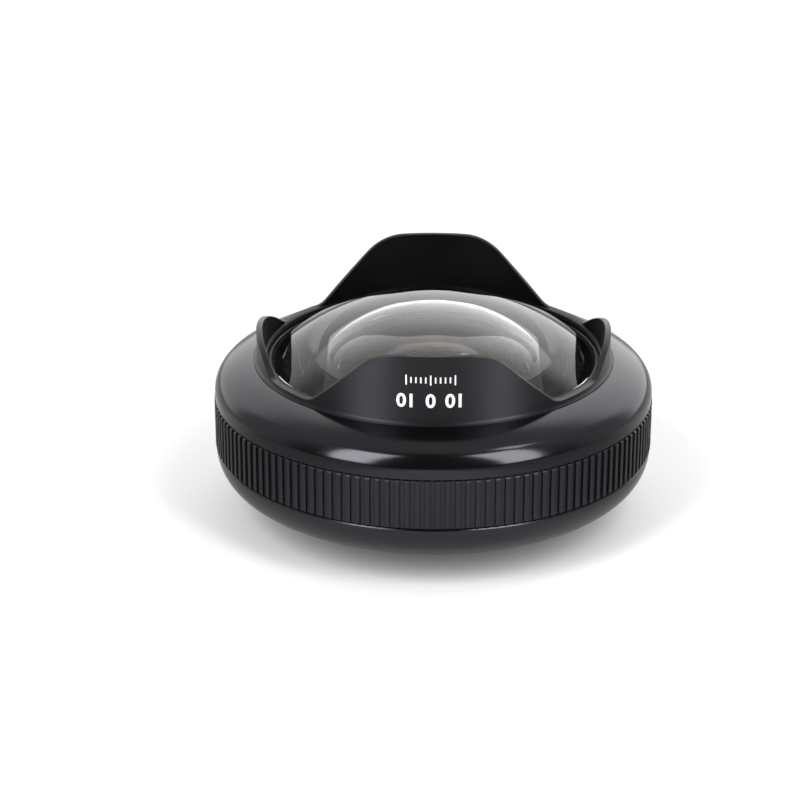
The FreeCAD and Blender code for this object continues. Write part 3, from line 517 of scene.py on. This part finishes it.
# %% Upper shell
SEAM_EDGE, RIM_EDGE, LIP_EDGE = 0.05, 0.1, 0.06
ROLL_STEPS, CROWN_STEPS, CROWN_INNER_STEPS = 24, 18, 12
foot_meet = crown_level(foot_rad, crown_inner)
spigot_meet = crown_level(spigot_inner, crown_inner)
upper_shell = turned("float_collar_upper", softened([
    (spigot_rad, grip_top),
    (collar_rad - rim_chamfer, grip_top, SEAM_EDGE),
    (collar_rad, grip_top + rim_chamfer, RIM_EDGE),
    *arc((collar_rad, upper_centre), (turn_rad, turn_level), upper_round, 1, ROLL_STEPS),
    *arc((turn_rad, turn_level), (crown_edge_rad, crown_edge), crown_round, 1, CROWN_STEPS),
    (crown_edge_rad, crown_edge, LIP_EDGE),
    (crown_edge_rad, lip_seat),
    (shell_bore_rad, lip_seat),
    (shell_bore_rad, shoulder_level),
    (neck_bore_rad, shoulder_level),
    (neck_bore_rad, foot_low),
    (foot_rad, foot_low),
    *arc((foot_rad, foot_meet), (spigot_inner, spigot_meet), crown_inner, -1,
         CROWN_INNER_STEPS),
    (spigot_inner, spigot_meet),
    (spigot_inner, grip_top - spigot_len),
    (spigot_rad, grip_top - spigot_len),
]))
fit(upper_shell, "collar_upper_shell", "lens", polished_black)

# %% [markdown]
# The lower shell turns in to the mount in one round, and a flange with a flat inner face carries
# its screws. Its spigot plugs into the grip ring from below.

# %% Lower shell
TAIL_EDGE = 0.2
LOWER_STEPS, LOWER_INNER_STEPS = 36, 14
tail_bore_rad, flange_thick = 41.45, 2.8
lower_rim = grip_low - rim_chamfer
lower_round = lower_rim - lower_bottom
lower_turn_rad = collar_rad - lower_round
collar_seat = lower_bottom + flange_thick
lower_inner = lower_round - shell_wall
lower_meet = lower_rim - math.sqrt(lower_inner ** 2 - (spigot_inner - lower_turn_rad) ** 2)
flange_edge = lower_turn_rad + math.sqrt(lower_inner ** 2 - (lower_rim - collar_seat) ** 2)
lower_shell = turned("float_collar_lower", softened([
    (tail_bore_rad, lower_bottom, TAIL_EDGE),
    *arc((lower_turn_rad, lower_bottom), (collar_rad, lower_rim), lower_round, 1, LOWER_STEPS),
    (collar_rad, lower_rim, RIM_EDGE),
    (collar_rad - rim_chamfer, grip_low, SEAM_EDGE),
    (spigot_rad, grip_low),
    (spigot_rad, grip_low + spigot_len),
    (spigot_inner, grip_low + spigot_len),
    *arc((spigot_inner, lower_meet), (flange_edge, collar_seat), lower_inner, -1,
         LOWER_INNER_STEPS),
    (flange_edge, collar_seat),
    (tail_bore_rad, collar_seat),
]))
print("lower shell: round", round(lower_round, 2), "mm, before drilling",
      len(lower_shell.data.polygons), "faces")

# %% [markdown]
# Six countersunk screws hold the lower shell on the barrel. Their holes are drilled after turning,
# here as in the workshop: a drill with a cone for the head is spun like any other turned part, set
# on the screw circle and taken away from the shell. Each cut is made final before the next, so the
# shell ends as a plain mesh.

# %% Drill the lower shell
SCREW_CIRCLE, SCREWS = 45.0, 6
HEAD_HOLE_RAD, SCREW_HOLE_RAD = 2.35, 1.3
DRILL_START, DRILL_REACH, DRILL_STEPS = 1, 4.0, 32
cone_end = lower_bottom + HEAD_HOLE_RAD - SCREW_HOLE_RAD
for screw in range(SCREWS):
    drill = spun("drill", full_turn(DRILL_STEPS), [[
        (0, lower_bottom - DRILL_START),
        (HEAD_HOLE_RAD, lower_bottom - DRILL_START),
        (HEAD_HOLE_RAD, lower_bottom),
        (SCREW_HOLE_RAD, cone_end),
        (SCREW_HOLE_RAD, lower_bottom + DRILL_REACH),
        (0, lower_bottom + DRILL_REACH),
    ]] * DRILL_STEPS)
    place = 2 * math.pi * screw / SCREWS
    stand = Vector((math.cos(place), math.sin(place), 0)) * SCREW_CIRCLE * MM
    drill.data.transform(Matrix.Translation(stand))
    cut = lower_shell.modifiers.new("screw_hole", "BOOLEAN")
    cut.object, cut.solver = drill, "EXACT"
    result = lower_shell.evaluated_get(bpy.context.evaluated_depsgraph_get())
    drilled = bpy.data.meshes.new_from_object(result)
    lower_shell.modifiers.clear()
    lower_shell.data = drilled
    bpy.data.objects.remove(drill)
lower_shell.data.set_sharp_from_angle(angle=math.radians(SHARP_DEGREES))
fit(lower_shell, "collar_lower_shell", "lens", polished_black)

# %% [markdown]
# ## The grip ring
#
# The ring clamps the two shells and gives wet gloves something to hold: 144 straight ribs, left
# standing between milled grooves, with a chamfer at each end. It is a turned ring whose section
# changes on its way round: through the floor of a groove, through the mouth of its wall, where the
# rib's edge is broken, or through the top of a rib.

# %% The grip ring's section
RIBS = 144
groove_width, groove_depth, rib_edge = 1.5, 0.7, 0.12
rib_chamfer, slit_width, slit_depth = 0.4, 0.3, 1.0
grip_wall = 2.8
grip_bore_rad = grip_rad - grip_wall


def grip_section(kind):
    """The ring's section through a groove's floor, the mouth of its wall, or a rib's top."""
    def out(radius):
        return {"floor": grip_rad - groove_depth, "mouth": radius - rib_edge, "top": radius}[kind]

    slit_rad = grip_rad - slit_depth
    rib_low, rib_high = grip_low + slit_width, grip_top - slit_width
    return [
        (grip_bore_rad, grip_low),
        (slit_rad, grip_low),
        (slit_rad, rib_low),
        (out(grip_rad - rib_chamfer), rib_low),
        (out(grip_rad), rib_low + rib_chamfer),
        (out(grip_rad), rib_high - rib_chamfer),
        (out(grip_rad - rib_chamfer), rib_high),
        (slit_rad, rib_high),
        (slit_rad, grip_top),
        (grip_bore_rad, grip_top),
    ]


print("rib pitch", round(2 * math.pi * grip_rad / RIBS, 2), "mm, groove", groove_width, "mm")

# %% [markdown]
# Each groove adds eight sections: its two floor corners, and for each wall the mouth, the softened
# edge and a guard point on the rib's top. Their distances across the groove become angles.

# %% Grip ring
groove_places = [
    ("mouth", groove_width / 2),
    ("top", groove_width / 2 + rib_edge),
    ("top", groove_width / 2 + rib_edge + EDGE_GUARD),
]
groove_sections = [(kind, -across) for kind, across in reversed(groove_places)]
groove_sections += [("floor", -groove_width / 2), ("floor", groove_width / 2), *groove_places]
rib_angles = []
rib_sections = []
for rib in range(RIBS):
    for kind, across in groove_sections:
        rib_angles.append(2 * math.pi * rib / RIBS + math.asin(across / grip_rad))
        rib_sections.append(grip_section(kind))
ribbed_ring = spun("ribbed_grip_ring", rib_angles, rib_sections)
fit(ribbed_ring, "grip_ring", "lens", blasted_black)

# %% [markdown]
# ## The hood
#
# The hood shades the dome and takes the knocks. It is a turned ring whose top is milled away
# between four petals: two tall ones, and two low ones on the wide side of the picture. The cutter
# passes straight through the ring, so the level of the top depends on the distance across, and not
# on the angle. Outer and inner wall have different distances across at the same angle, and that is
# what gives the flanks of the petals their slight twist.

# %% The petals' outline
hood_rad, petal_bore, ledge_bore, hood_bore = 53.0, 51.2, 50.1, 51.25
valley_level, valley_corner = 49.0, 5.0
low_petal_top = 57.2
TALL_PETAL = {"flat": 16.3, "slope_degrees": 45.0, "corner": 16.0}
LOW_PETAL = {"flat": 12.1, "slope_degrees": 37.0, "corner": 35.0}


def petal_level(across, crest, flat, slope_degrees, corner):
    """The level of a petal's edge at a distance across: flat, round, slope, round, valley."""
    slope = math.radians(slope_degrees)
    run = corner * math.tan(slope / 2)
    heel = valley_corner * math.tan(slope / 2)
    foot = flat + (crest - valley_level) / math.tan(slope)
    if across < flat - run:
        return crest
    if across < flat + run * math.cos(slope):
        return crest - sag(corner, across - flat + run)
    if across < foot - heel * math.cos(slope):
        return crest - (across - flat) * math.tan(slope)
    if across < foot + heel:
        return valley_level + sag(valley_corner, foot + heel - across)
    return valley_level


def hood_level(angle, radius):
    x, y = abs(radius * math.cos(angle)), abs(radius * math.sin(angle))
    if y > x:
        return petal_level(x, petal_top, **TALL_PETAL)
    return petal_level(y, low_petal_top, **LOW_PETAL)


for degrees in (270, 240, 230, 200, 180):
    level = hood_level(math.radians(degrees), hood_rad)
    print("hood top at", degrees, "degrees:", round(level, 2), "mm")

# %% [markdown]
# Each section of the hood runs up the skirt inside the collar, out along the lip, round a fillet
# and up the outer wall, over the edge with a small round on both sides, and down the inner wall to
# the ledge. In a valley the inner wall has no height, so its points fall together and are merged.

# %% The hood's section
HOOD_EDGE, HOOD_LIP_EDGE, LEDGE_EDGE = 0.3, 0.08, 0.15
FILLET_STEPS = 8
skirt_rad, lip_thick, ledge_air = 52.8, 0.3, 0.1
lip_level = lip_seat + lip_air
lip_top = lip_level + lip_thick
lip_reach = hood_lip_rad - hood_rad
fillet_top = lip_top + lip_reach
ledge_level = ring_top + ledge_air
inner_foot = valley_level - 1.0


def hood_section(angle):
    edge = softened([
        (hood_rad, fillet_top),
        (hood_rad, hood_level(angle, hood_rad), HOOD_EDGE),
        (petal_bore, hood_level(angle, petal_bore), HOOD_EDGE),
        (petal_bore, inner_foot),
    ])[1:-1]
    lip = softened([
        (skirt_rad, lip_level),
        (hood_lip_rad, lip_level, HOOD_LIP_EDGE),
        (hood_lip_rad, lip_top),
    ])[1:-1]
    ledge = softened([
        (petal_bore, valley_level),
        (ledge_bore, valley_level, LEDGE_EDGE),
        (ledge_bore, ledge_level),
    ])[1:]
    return [
        (hood_bore, hood_low),
        (skirt_rad, hood_low),
        (skirt_rad, lip_level),
        *lip,
        *arc((hood_lip_rad, lip_top), (hood_rad, fillet_top), lip_reach, -1, FILLET_STEPS),
        (hood_rad, fillet_top),
        *[(r, max(z, valley_level)) for r, z in edge],
        (petal_bore, valley_level),
        *ledge,
        (hood_bore, ledge_level),
    ]


print("a section of the hood has", len(hood_section(0)), "points")

# %% [markdown]
# The petals' flanks need more sections than a plain turned part, three for each degree. The paint
# goes on the inner walls above the valleys, as a second material on those faces.

# %% Hood
HOOD_STEPS = 1080
PAINT_SLACK = 0.02
hood_angles = full_turn(HOOD_STEPS)
petal_hood = spun("petal_hood", hood_angles, [hood_section(angle) for angle in hood_angles])
fit(petal_hood, "hood", "hood", turned_black)
petal_hood.data.materials.append(hood_paint)
inner_walls = [face for face in petal_hood.data.polygons
               if face.center.z > valley_level * MM
               and face.center.xy.length < (petal_bore + PAINT_SLACK) * MM]
for face in inner_walls:
    face.material_index = 1
print("painted inside:", len(inner_walls), "faces")

# %% [markdown]
# The front retaining ring screws down on the step of the dome. Only its raised rim shows, as a thin
# line between the hood's ledge and the glass, and its softened edges draw that line.

# %% Front retaining ring
RING_EDGE, RING_LAND_EDGE = 0.1, 0.12
ring_bore, ring_land_rad, ring_land = 48.65, 49.3, 0.8
ring_out_rad, ring_low = rim("front_retaining_ring"), low("front_retaining_ring")
ring_step = ring_top - ring_land
front_ring = turned("dome_retaining_ring", softened([
    (ring_bore, ring_low),
    (ring_out_rad, ring_low),
    (ring_out_rad, ring_step, RING_EDGE),
    (ring_land_rad, ring_step),
    (ring_land_rad, ring_top, RING_LAND_EDGE),
    (ring_bore, ring_top, RING_LAND_EDGE),
]))
fit(front_ring, "front_retaining_ring", "lens", turned_black)

# %% [markdown]
# ## Marks
#
# The hood can be turned to level its petals with the picture, so a tall petal carries a small plain
# scale in degrees, filled with white paint. It reads from behind the camera, which is upside down
# from the front. The marks could be an image on the petal, but a thin mesh stays crisp at any size.
# So they are flat meshes that are bent round the hood: a distance along the text becomes an arc on
# the wall. The collar would mirror them as a bright smear, so they are kept out of reflections.

# %% Bend and paint a mark
MARK_PROUD = 0.015
mark_rad = hood_rad + MARK_PROUD


def bend_round_hood(mesh, across, level):
    """Bends a flat mesh in millimetres round the front petal, turned upside down."""
    for vertex in mesh.vertices:
        angle = -math.pi / 2 + (across - vertex.co.x) / hood_rad
        radius = mark_rad + vertex.co.z
        vertex.co = Vector((radius * math.cos(angle), radius * math.sin(angle),
                            level - vertex.co.y)) * MM


def painted_mark(name, mesh):
    mesh.materials.append(white_enamel)
    mark = bpy.data.objects.new(name, mesh)
    bpy.context.scene.collection.objects.link(mark)
    mark.visible_glossy = False
    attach(mark, "hood")


print("a mark stands", MARK_PROUD, "mm proud of the wall")

# %% [markdown]
# The figures come from Blender's own text: set in its built-in font, made a little bolder by the
# offset, given a thickness and turned into a mesh. At 5.6 mm they are easy to read at arm's length.

# %% The scale's figures
FIGURES = (("10", -7.6), ("0", -0.7), ("10", 6.2))
FIGURE_LEVEL, FIGURE_SIZE, FIGURE_BOLDER, FIGURE_HALF_THICK = 55.2, 5.6, 0.16, 0.012


def figure(text, across):
    curve = bpy.data.curves.new("figure_" + text, "FONT")
    curve.body = text
    curve.size = FIGURE_SIZE
    curve.align_x, curve.align_y = "CENTER", "CENTER"
    curve.offset = FIGURE_BOLDER
    curve.extrude = FIGURE_HALF_THICK
    holder = bpy.data.objects.new("figure_holder", curve)
    bpy.context.scene.collection.objects.link(holder)
    bpy.context.view_layer.update()
    mesh = bpy.data.meshes.new_from_object(holder)
    bpy.data.objects.remove(holder)
    bend_round_hood(mesh, across, FIGURE_LEVEL)
    return mesh


for number, (text, across) in enumerate(FIGURES):
    digits = figure(text, across)
    digits.name = "scale_figure_%d" % number
    painted_mark(digits.name, digits)
print("figures:", [text for text, across in FIGURES])

# %% [markdown]
# Eleven ticks stand over the figures, one for every two degrees, and the first, the middle and the
# last are longer. Each is a thin bar, bent round the wall like the figures.

# %% The scale's ticks
TICK_LEVEL, TICK_WIDTH, TICK_THICK = 61.2, 0.42, 0.024
TICK_MIDDLE, TICK_PITCH, TICKS_EACH_SIDE = -0.7, 1.38, 5
LONG_TICK, SHORT_TICK = 3.0, 1.8


def tick(across, height):
    work = bmesh.new()
    bmesh.ops.create_cube(work, size=1)
    bmesh.ops.scale(work, vec=(TICK_WIDTH, height, TICK_THICK), verts=work.verts)
    mesh = bpy.data.meshes.new("tick")
    work.to_mesh(mesh)
    work.free()
    bend_round_hood(mesh, across, TICK_LEVEL)
    return mesh


for step in range(-TICKS_EACH_SIDE, TICKS_EACH_SIDE + 1):
    height = LONG_TICK if step % TICKS_EACH_SIDE == 0 else SHORT_TICK
    painted_mark("scale_tick_%d" % (step + TICKS_EACH_SIDE),
                 tick(TICK_MIDDLE + step * TICK_PITCH, height))
print("ticks:", 2 * TICKS_EACH_SIDE + 1, "over", round(2 * TICKS_EACH_SIDE * TICK_PITCH, 1), "mm")

# %% [markdown]
# ## Camera
#
# The lens was photographed from about 23 degrees above the table with a long lens. The numbers come
# from the ribs of the grip ring and its two rims: how fast the ribs close up towards the sides
# gives the distance, and how round the rims look gives the height. The lens stands a little off
# the picture's middle, so the camera looks past it by a small yaw and pitch.

# %% Camera
PIXELS, SENSOR, LENS_PIXELS = 800, 36.0, 2502.8
CAMERA_AWAY, CAMERA_HEIGHT, CAMERA_ROLL = 760.2, 0.406, 0.006
CENTRE_PX = (433.1, 413.0)
FAR_END = 20
focus = Vector((0, 0, (grip_low + grip_top) / 2)) * MM
yaw = math.atan((CENTRE_PX[0] - PIXELS / 2) / LENS_PIXELS)
pitch = math.atan((CENTRE_PX[1] - PIXELS / 2) / LENS_PIXELS)
back = Vector((0, -math.cos(CAMERA_HEIGHT), math.sin(CAMERA_HEIGHT)))
camera_data = bpy.data.cameras.new("camera")
camera = bpy.data.objects.new("camera", camera_data)
bpy.context.scene.collection.objects.link(camera)
bpy.context.scene.camera = camera
camera_data.sensor_width = SENSOR
camera_data.lens = LENS_PIXELS / PIXELS * SENSOR
camera_data.clip_end = FAR_END
turn = back.to_track_quat("Z", "Y").to_matrix()
aim = (turn @ Matrix.Rotation(yaw, 3, "Y") @ Matrix.Rotation(pitch, 3, "X")
       @ Matrix.Rotation(CAMERA_ROLL, 3, "Z"))
camera.matrix_world = Matrix.Translation(focus + back * CAMERA_AWAY * MM) @ aim.to_4x4()
print("camera lens", round(camera_data.lens, 1), "mm,", CAMERA_AWAY, "mm away,",
      round(math.degrees(CAMERA_HEIGHT), 1), "degrees above the table")

# %% [markdown]
# ## Table and studio
#
# The photograph is the usual one for a catalogue: a white sweep under and behind the lens, two tall
# softboxes in front of it to the left and right, and a dark room behind the camera. Black polished
# metal shows nothing but its surroundings, so what it mirrors matters as much as the lamps.
#
# The sweep has three whites. Its own, 0.65, is what lights the lens from below. The one that the
# camera sees rises towards the back, where the lamps reach less, so that the background is white
# all over and the shadow stays. The one that metal and glass mirror is painted reflection: it falls
# off to both sides as a painted reflection of black cards that do not stand there, and it rises
# behind the lens as a painted reflection of a sweep that curves up, though the sheet is flat.

# %% White table
PAPER, CAMERA_PAPER, MIRROR_PAPER = 0.65, (0.97, 1.33), (0.62, 0.28)
# Painted reflection: the mirrored paper darkens to both sides for absent black cards, and lifts
# behind the lens for a sweep that the flat sheet does not have.
SWEEP_RISE, PAINTED_CARD_SPAN = (50 * MM, 800 * MM), (35 * MM, 130 * MM)
PAINTED_SWEEP_SPAN, PAINTED_SWEEP_LIFT = (-20 * MM, 60 * MM), 0.22
bpy.context.scene.view_settings.view_transform = "Standard"
floor_material, tree = new_material("white paper sweep")
path = add_node(tree, "ShaderNodeLightPath")
mirrored = add_node(tree, "ShaderNodeMath",
                    {0: path.outputs["Is Glossy Ray"], 1: path.outputs["Is Transmission Ray"]},
                    operation="MAXIMUM")
spot = add_node(tree, "ShaderNodeTexCoord")
along = add_node(tree, "ShaderNodeSeparateXYZ", {0: spot.outputs["Object"]})
aside = add_node(tree, "ShaderNodeMath", {0: along.outputs["X"]}, operation="ABSOLUTE")
# Painted reflection of black cards: what metal and glass mirror darkens to both sides.
painted_card_shade = add_node(tree, "ShaderNodeMapRange",
                  {"Value": aside.outputs[0], "From Min": PAINTED_CARD_SPAN[0], "From Max": PAINTED_CARD_SPAN[1],
                   "To Min": MIRROR_PAPER[0], "To Max": MIRROR_PAPER[1]},
                  interpolation_type="SMOOTHSTEP")
# Painted reflection of a rising sweep: what metal and glass mirror brightens behind the lens.
painted_sweep_lift = add_node(tree, "ShaderNodeMapRange",
                  {"Value": along.outputs["Y"], "From Min": PAINTED_SWEEP_SPAN[0], "From Max": PAINTED_SWEEP_SPAN[1],
                   "To Min": 0.0, "To Max": PAINTED_SWEEP_LIFT}, interpolation_type="SMOOTHSTEP")
seen = add_node(tree, "ShaderNodeMath",
                {0: painted_card_shade.outputs["Result"], 1: painted_sweep_lift.outputs["Result"]}, operation="ADD")
whiter = add_node(tree, "ShaderNodeMapRange",
                  {"Value": mirrored.outputs[0], "To Min": PAPER, "To Max": seen.outputs[0]})
swept = add_node(tree, "ShaderNodeMapRange",
                 {"Value": along.outputs["Y"],
                  "From Min": SWEEP_RISE[0], "From Max": SWEEP_RISE[1],
                  "To Min": CAMERA_PAPER[0], "To Max": CAMERA_PAPER[1]},
                 interpolation_type="SMOOTHSTEP")
white = add_node(tree, "ShaderNodeMapRange",
                 {"Value": path.outputs["Is Camera Ray"],
                  "To Min": whiter.outputs[0], "To Max": swept.outputs["Result"]})
paper = add_node(tree, "ShaderNodeBsdfDiffuse", {"Color": white.outputs[0]})
finish_surface(tree, paper.outputs[0])
print("white paper:", PAPER, "seen:", CAMERA_PAPER, "mirrored:", MIRROR_PAPER)

# %% [markdown]
# The sheet itself is one flat face, three metres to each side. It lies a fiftieth of a millimetre
# under the lens, so that the two never fight for the same place.

# %% Lay the sheet
SHEET_HALF, SHEET_UNDER = 3, -0.02 * MM
sheet = bpy.data.meshes.new("table")
sheet.from_pydata([(x * SHEET_HALF, y * SHEET_HALF, SHEET_UNDER)
                   for x, y in ((-1, -1), (1, -1), (1, 1), (-1, 1))], [], [(0, 1, 2, 3)])
floor = bpy.data.objects.new("table", sheet)
bpy.context.scene.collection.objects.link(floor)
sheet.materials.append(floor_material)
print("table:", [round(side, 2) for side in floor.dimensions], "m")

# %% [markdown]
# The world stands in for the room. It is white behind the lens and fades to dark behind the camera,
# by the direction in the room and not by the view, so it looks the same from every side. The
# ceiling is a dim grey over the back half, the back wall shines, and it is shaded to the left. For
# the camera itself the world is plain white.

# %% The room
CEILING_FROM, CEILING = (-0.45, 0.0), (0.05, 0.5)
WALL_FROM, WALL = (0.40, 0.64), (0.0, 1.4)
SHADE_FROM, SHADE = (-0.45, 0.05), (0.58, 1.0)
world = bpy.data.worlds.new("studio")
bpy.context.scene.world = world
world.use_nodes = True
sky = world.node_tree
sky.nodes.clear()
where = add_node(sky, "ShaderNodeTexCoord")
axes = add_node(sky, "ShaderNodeSeparateXYZ", {0: where.outputs["Generated"]})
ceiling = add_node(sky, "ShaderNodeMapRange",
                   {"Value": axes.outputs["Y"],
                    "From Min": CEILING_FROM[0], "From Max": CEILING_FROM[1],
                    "To Min": CEILING[0], "To Max": CEILING[1]},
                   interpolation_type="SMOOTHSTEP")
wall = add_node(sky, "ShaderNodeMapRange",
                {"Value": axes.outputs["Y"], "From Min": WALL_FROM[0], "From Max": WALL_FROM[1],
                 "To Min": WALL[0], "To Max": WALL[1]}, interpolation_type="SMOOTHSTEP")
shade = add_node(sky, "ShaderNodeMapRange",
                 {"Value": axes.outputs["X"],
                  "From Min": SHADE_FROM[0], "From Max": SHADE_FROM[1],
                  "To Min": SHADE[0], "To Max": SHADE[1]}, interpolation_type="SMOOTHSTEP")
shaded_wall = add_node(sky, "ShaderNodeMath",
                       {0: wall.outputs["Result"], 1: shade.outputs["Result"]},
                       operation="MULTIPLY")
room = add_node(sky, "ShaderNodeMath",
                {0: ceiling.outputs["Result"], 1: shaded_wall.outputs[0]}, operation="ADD")
sight = add_node(sky, "ShaderNodeLightPath")
shown = add_node(sky, "ShaderNodeMath",
                 {0: room.outputs[0], 1: sight.outputs["Is Camera Ray"]}, operation="MAXIMUM")
light = add_node(sky, "ShaderNodeBackground",
                 {"Color": (1, 1, 1, 1), "Strength": shown.outputs[0]})
add_node(sky, "ShaderNodeOutputWorld", {"Surface": light.outputs[0]})
print("room: ceiling", CEILING, "wall", WALL, "of white")

# %% [markdown]
# Two tall softboxes to the left and right of the camera draw the two bright fields on the collar's
# shoulder. A small one high up on the right lights the dome's edge without a patch of its own in
# the inner glass. A softbox is an even rectangle of light, so its strength is given as radiance,
# the level that a mirror would show, and the watts follow from its area.

# %% Softboxes
SOFTBOX_AWAY = 900


def softbox(name, side_degrees, height_degrees, size_mm, radiance):
    """An even rectangle of light. side is measured from the front, height from the table."""
    data = bpy.data.lights.new(name, "AREA")
    data.shape = "RECTANGLE"
    data.size, data.size_y = size_mm[0] * MM, size_mm[1] * MM
    data.energy = radiance * math.pi * data.size * data.size_y
    lamp = bpy.data.objects.new(name, data)
    bpy.context.scene.collection.objects.link(lamp)
    side, height = math.radians(side_degrees), math.radians(height_degrees)
    way = Vector((math.sin(side) * math.cos(height), -math.cos(side) * math.cos(height),
                  math.sin(height)))
    lamp.location = focus + way * SOFTBOX_AWAY * MM
    lamp.rotation_euler = way.to_track_quat("Z", "Y").to_euler()
    print(name, [round(v, 2) for v in lamp.location], "W:", round(data.energy, 2))


softbox("left_softbox", -41, 33, size_mm=(330, 830), radiance=7.8)
softbox("right_softbox", 44, 34, size_mm=(330, 900), radiance=7.0)
softbox("top_softbox", 82, 67, size_mm=(150, 150), radiance=5.5)
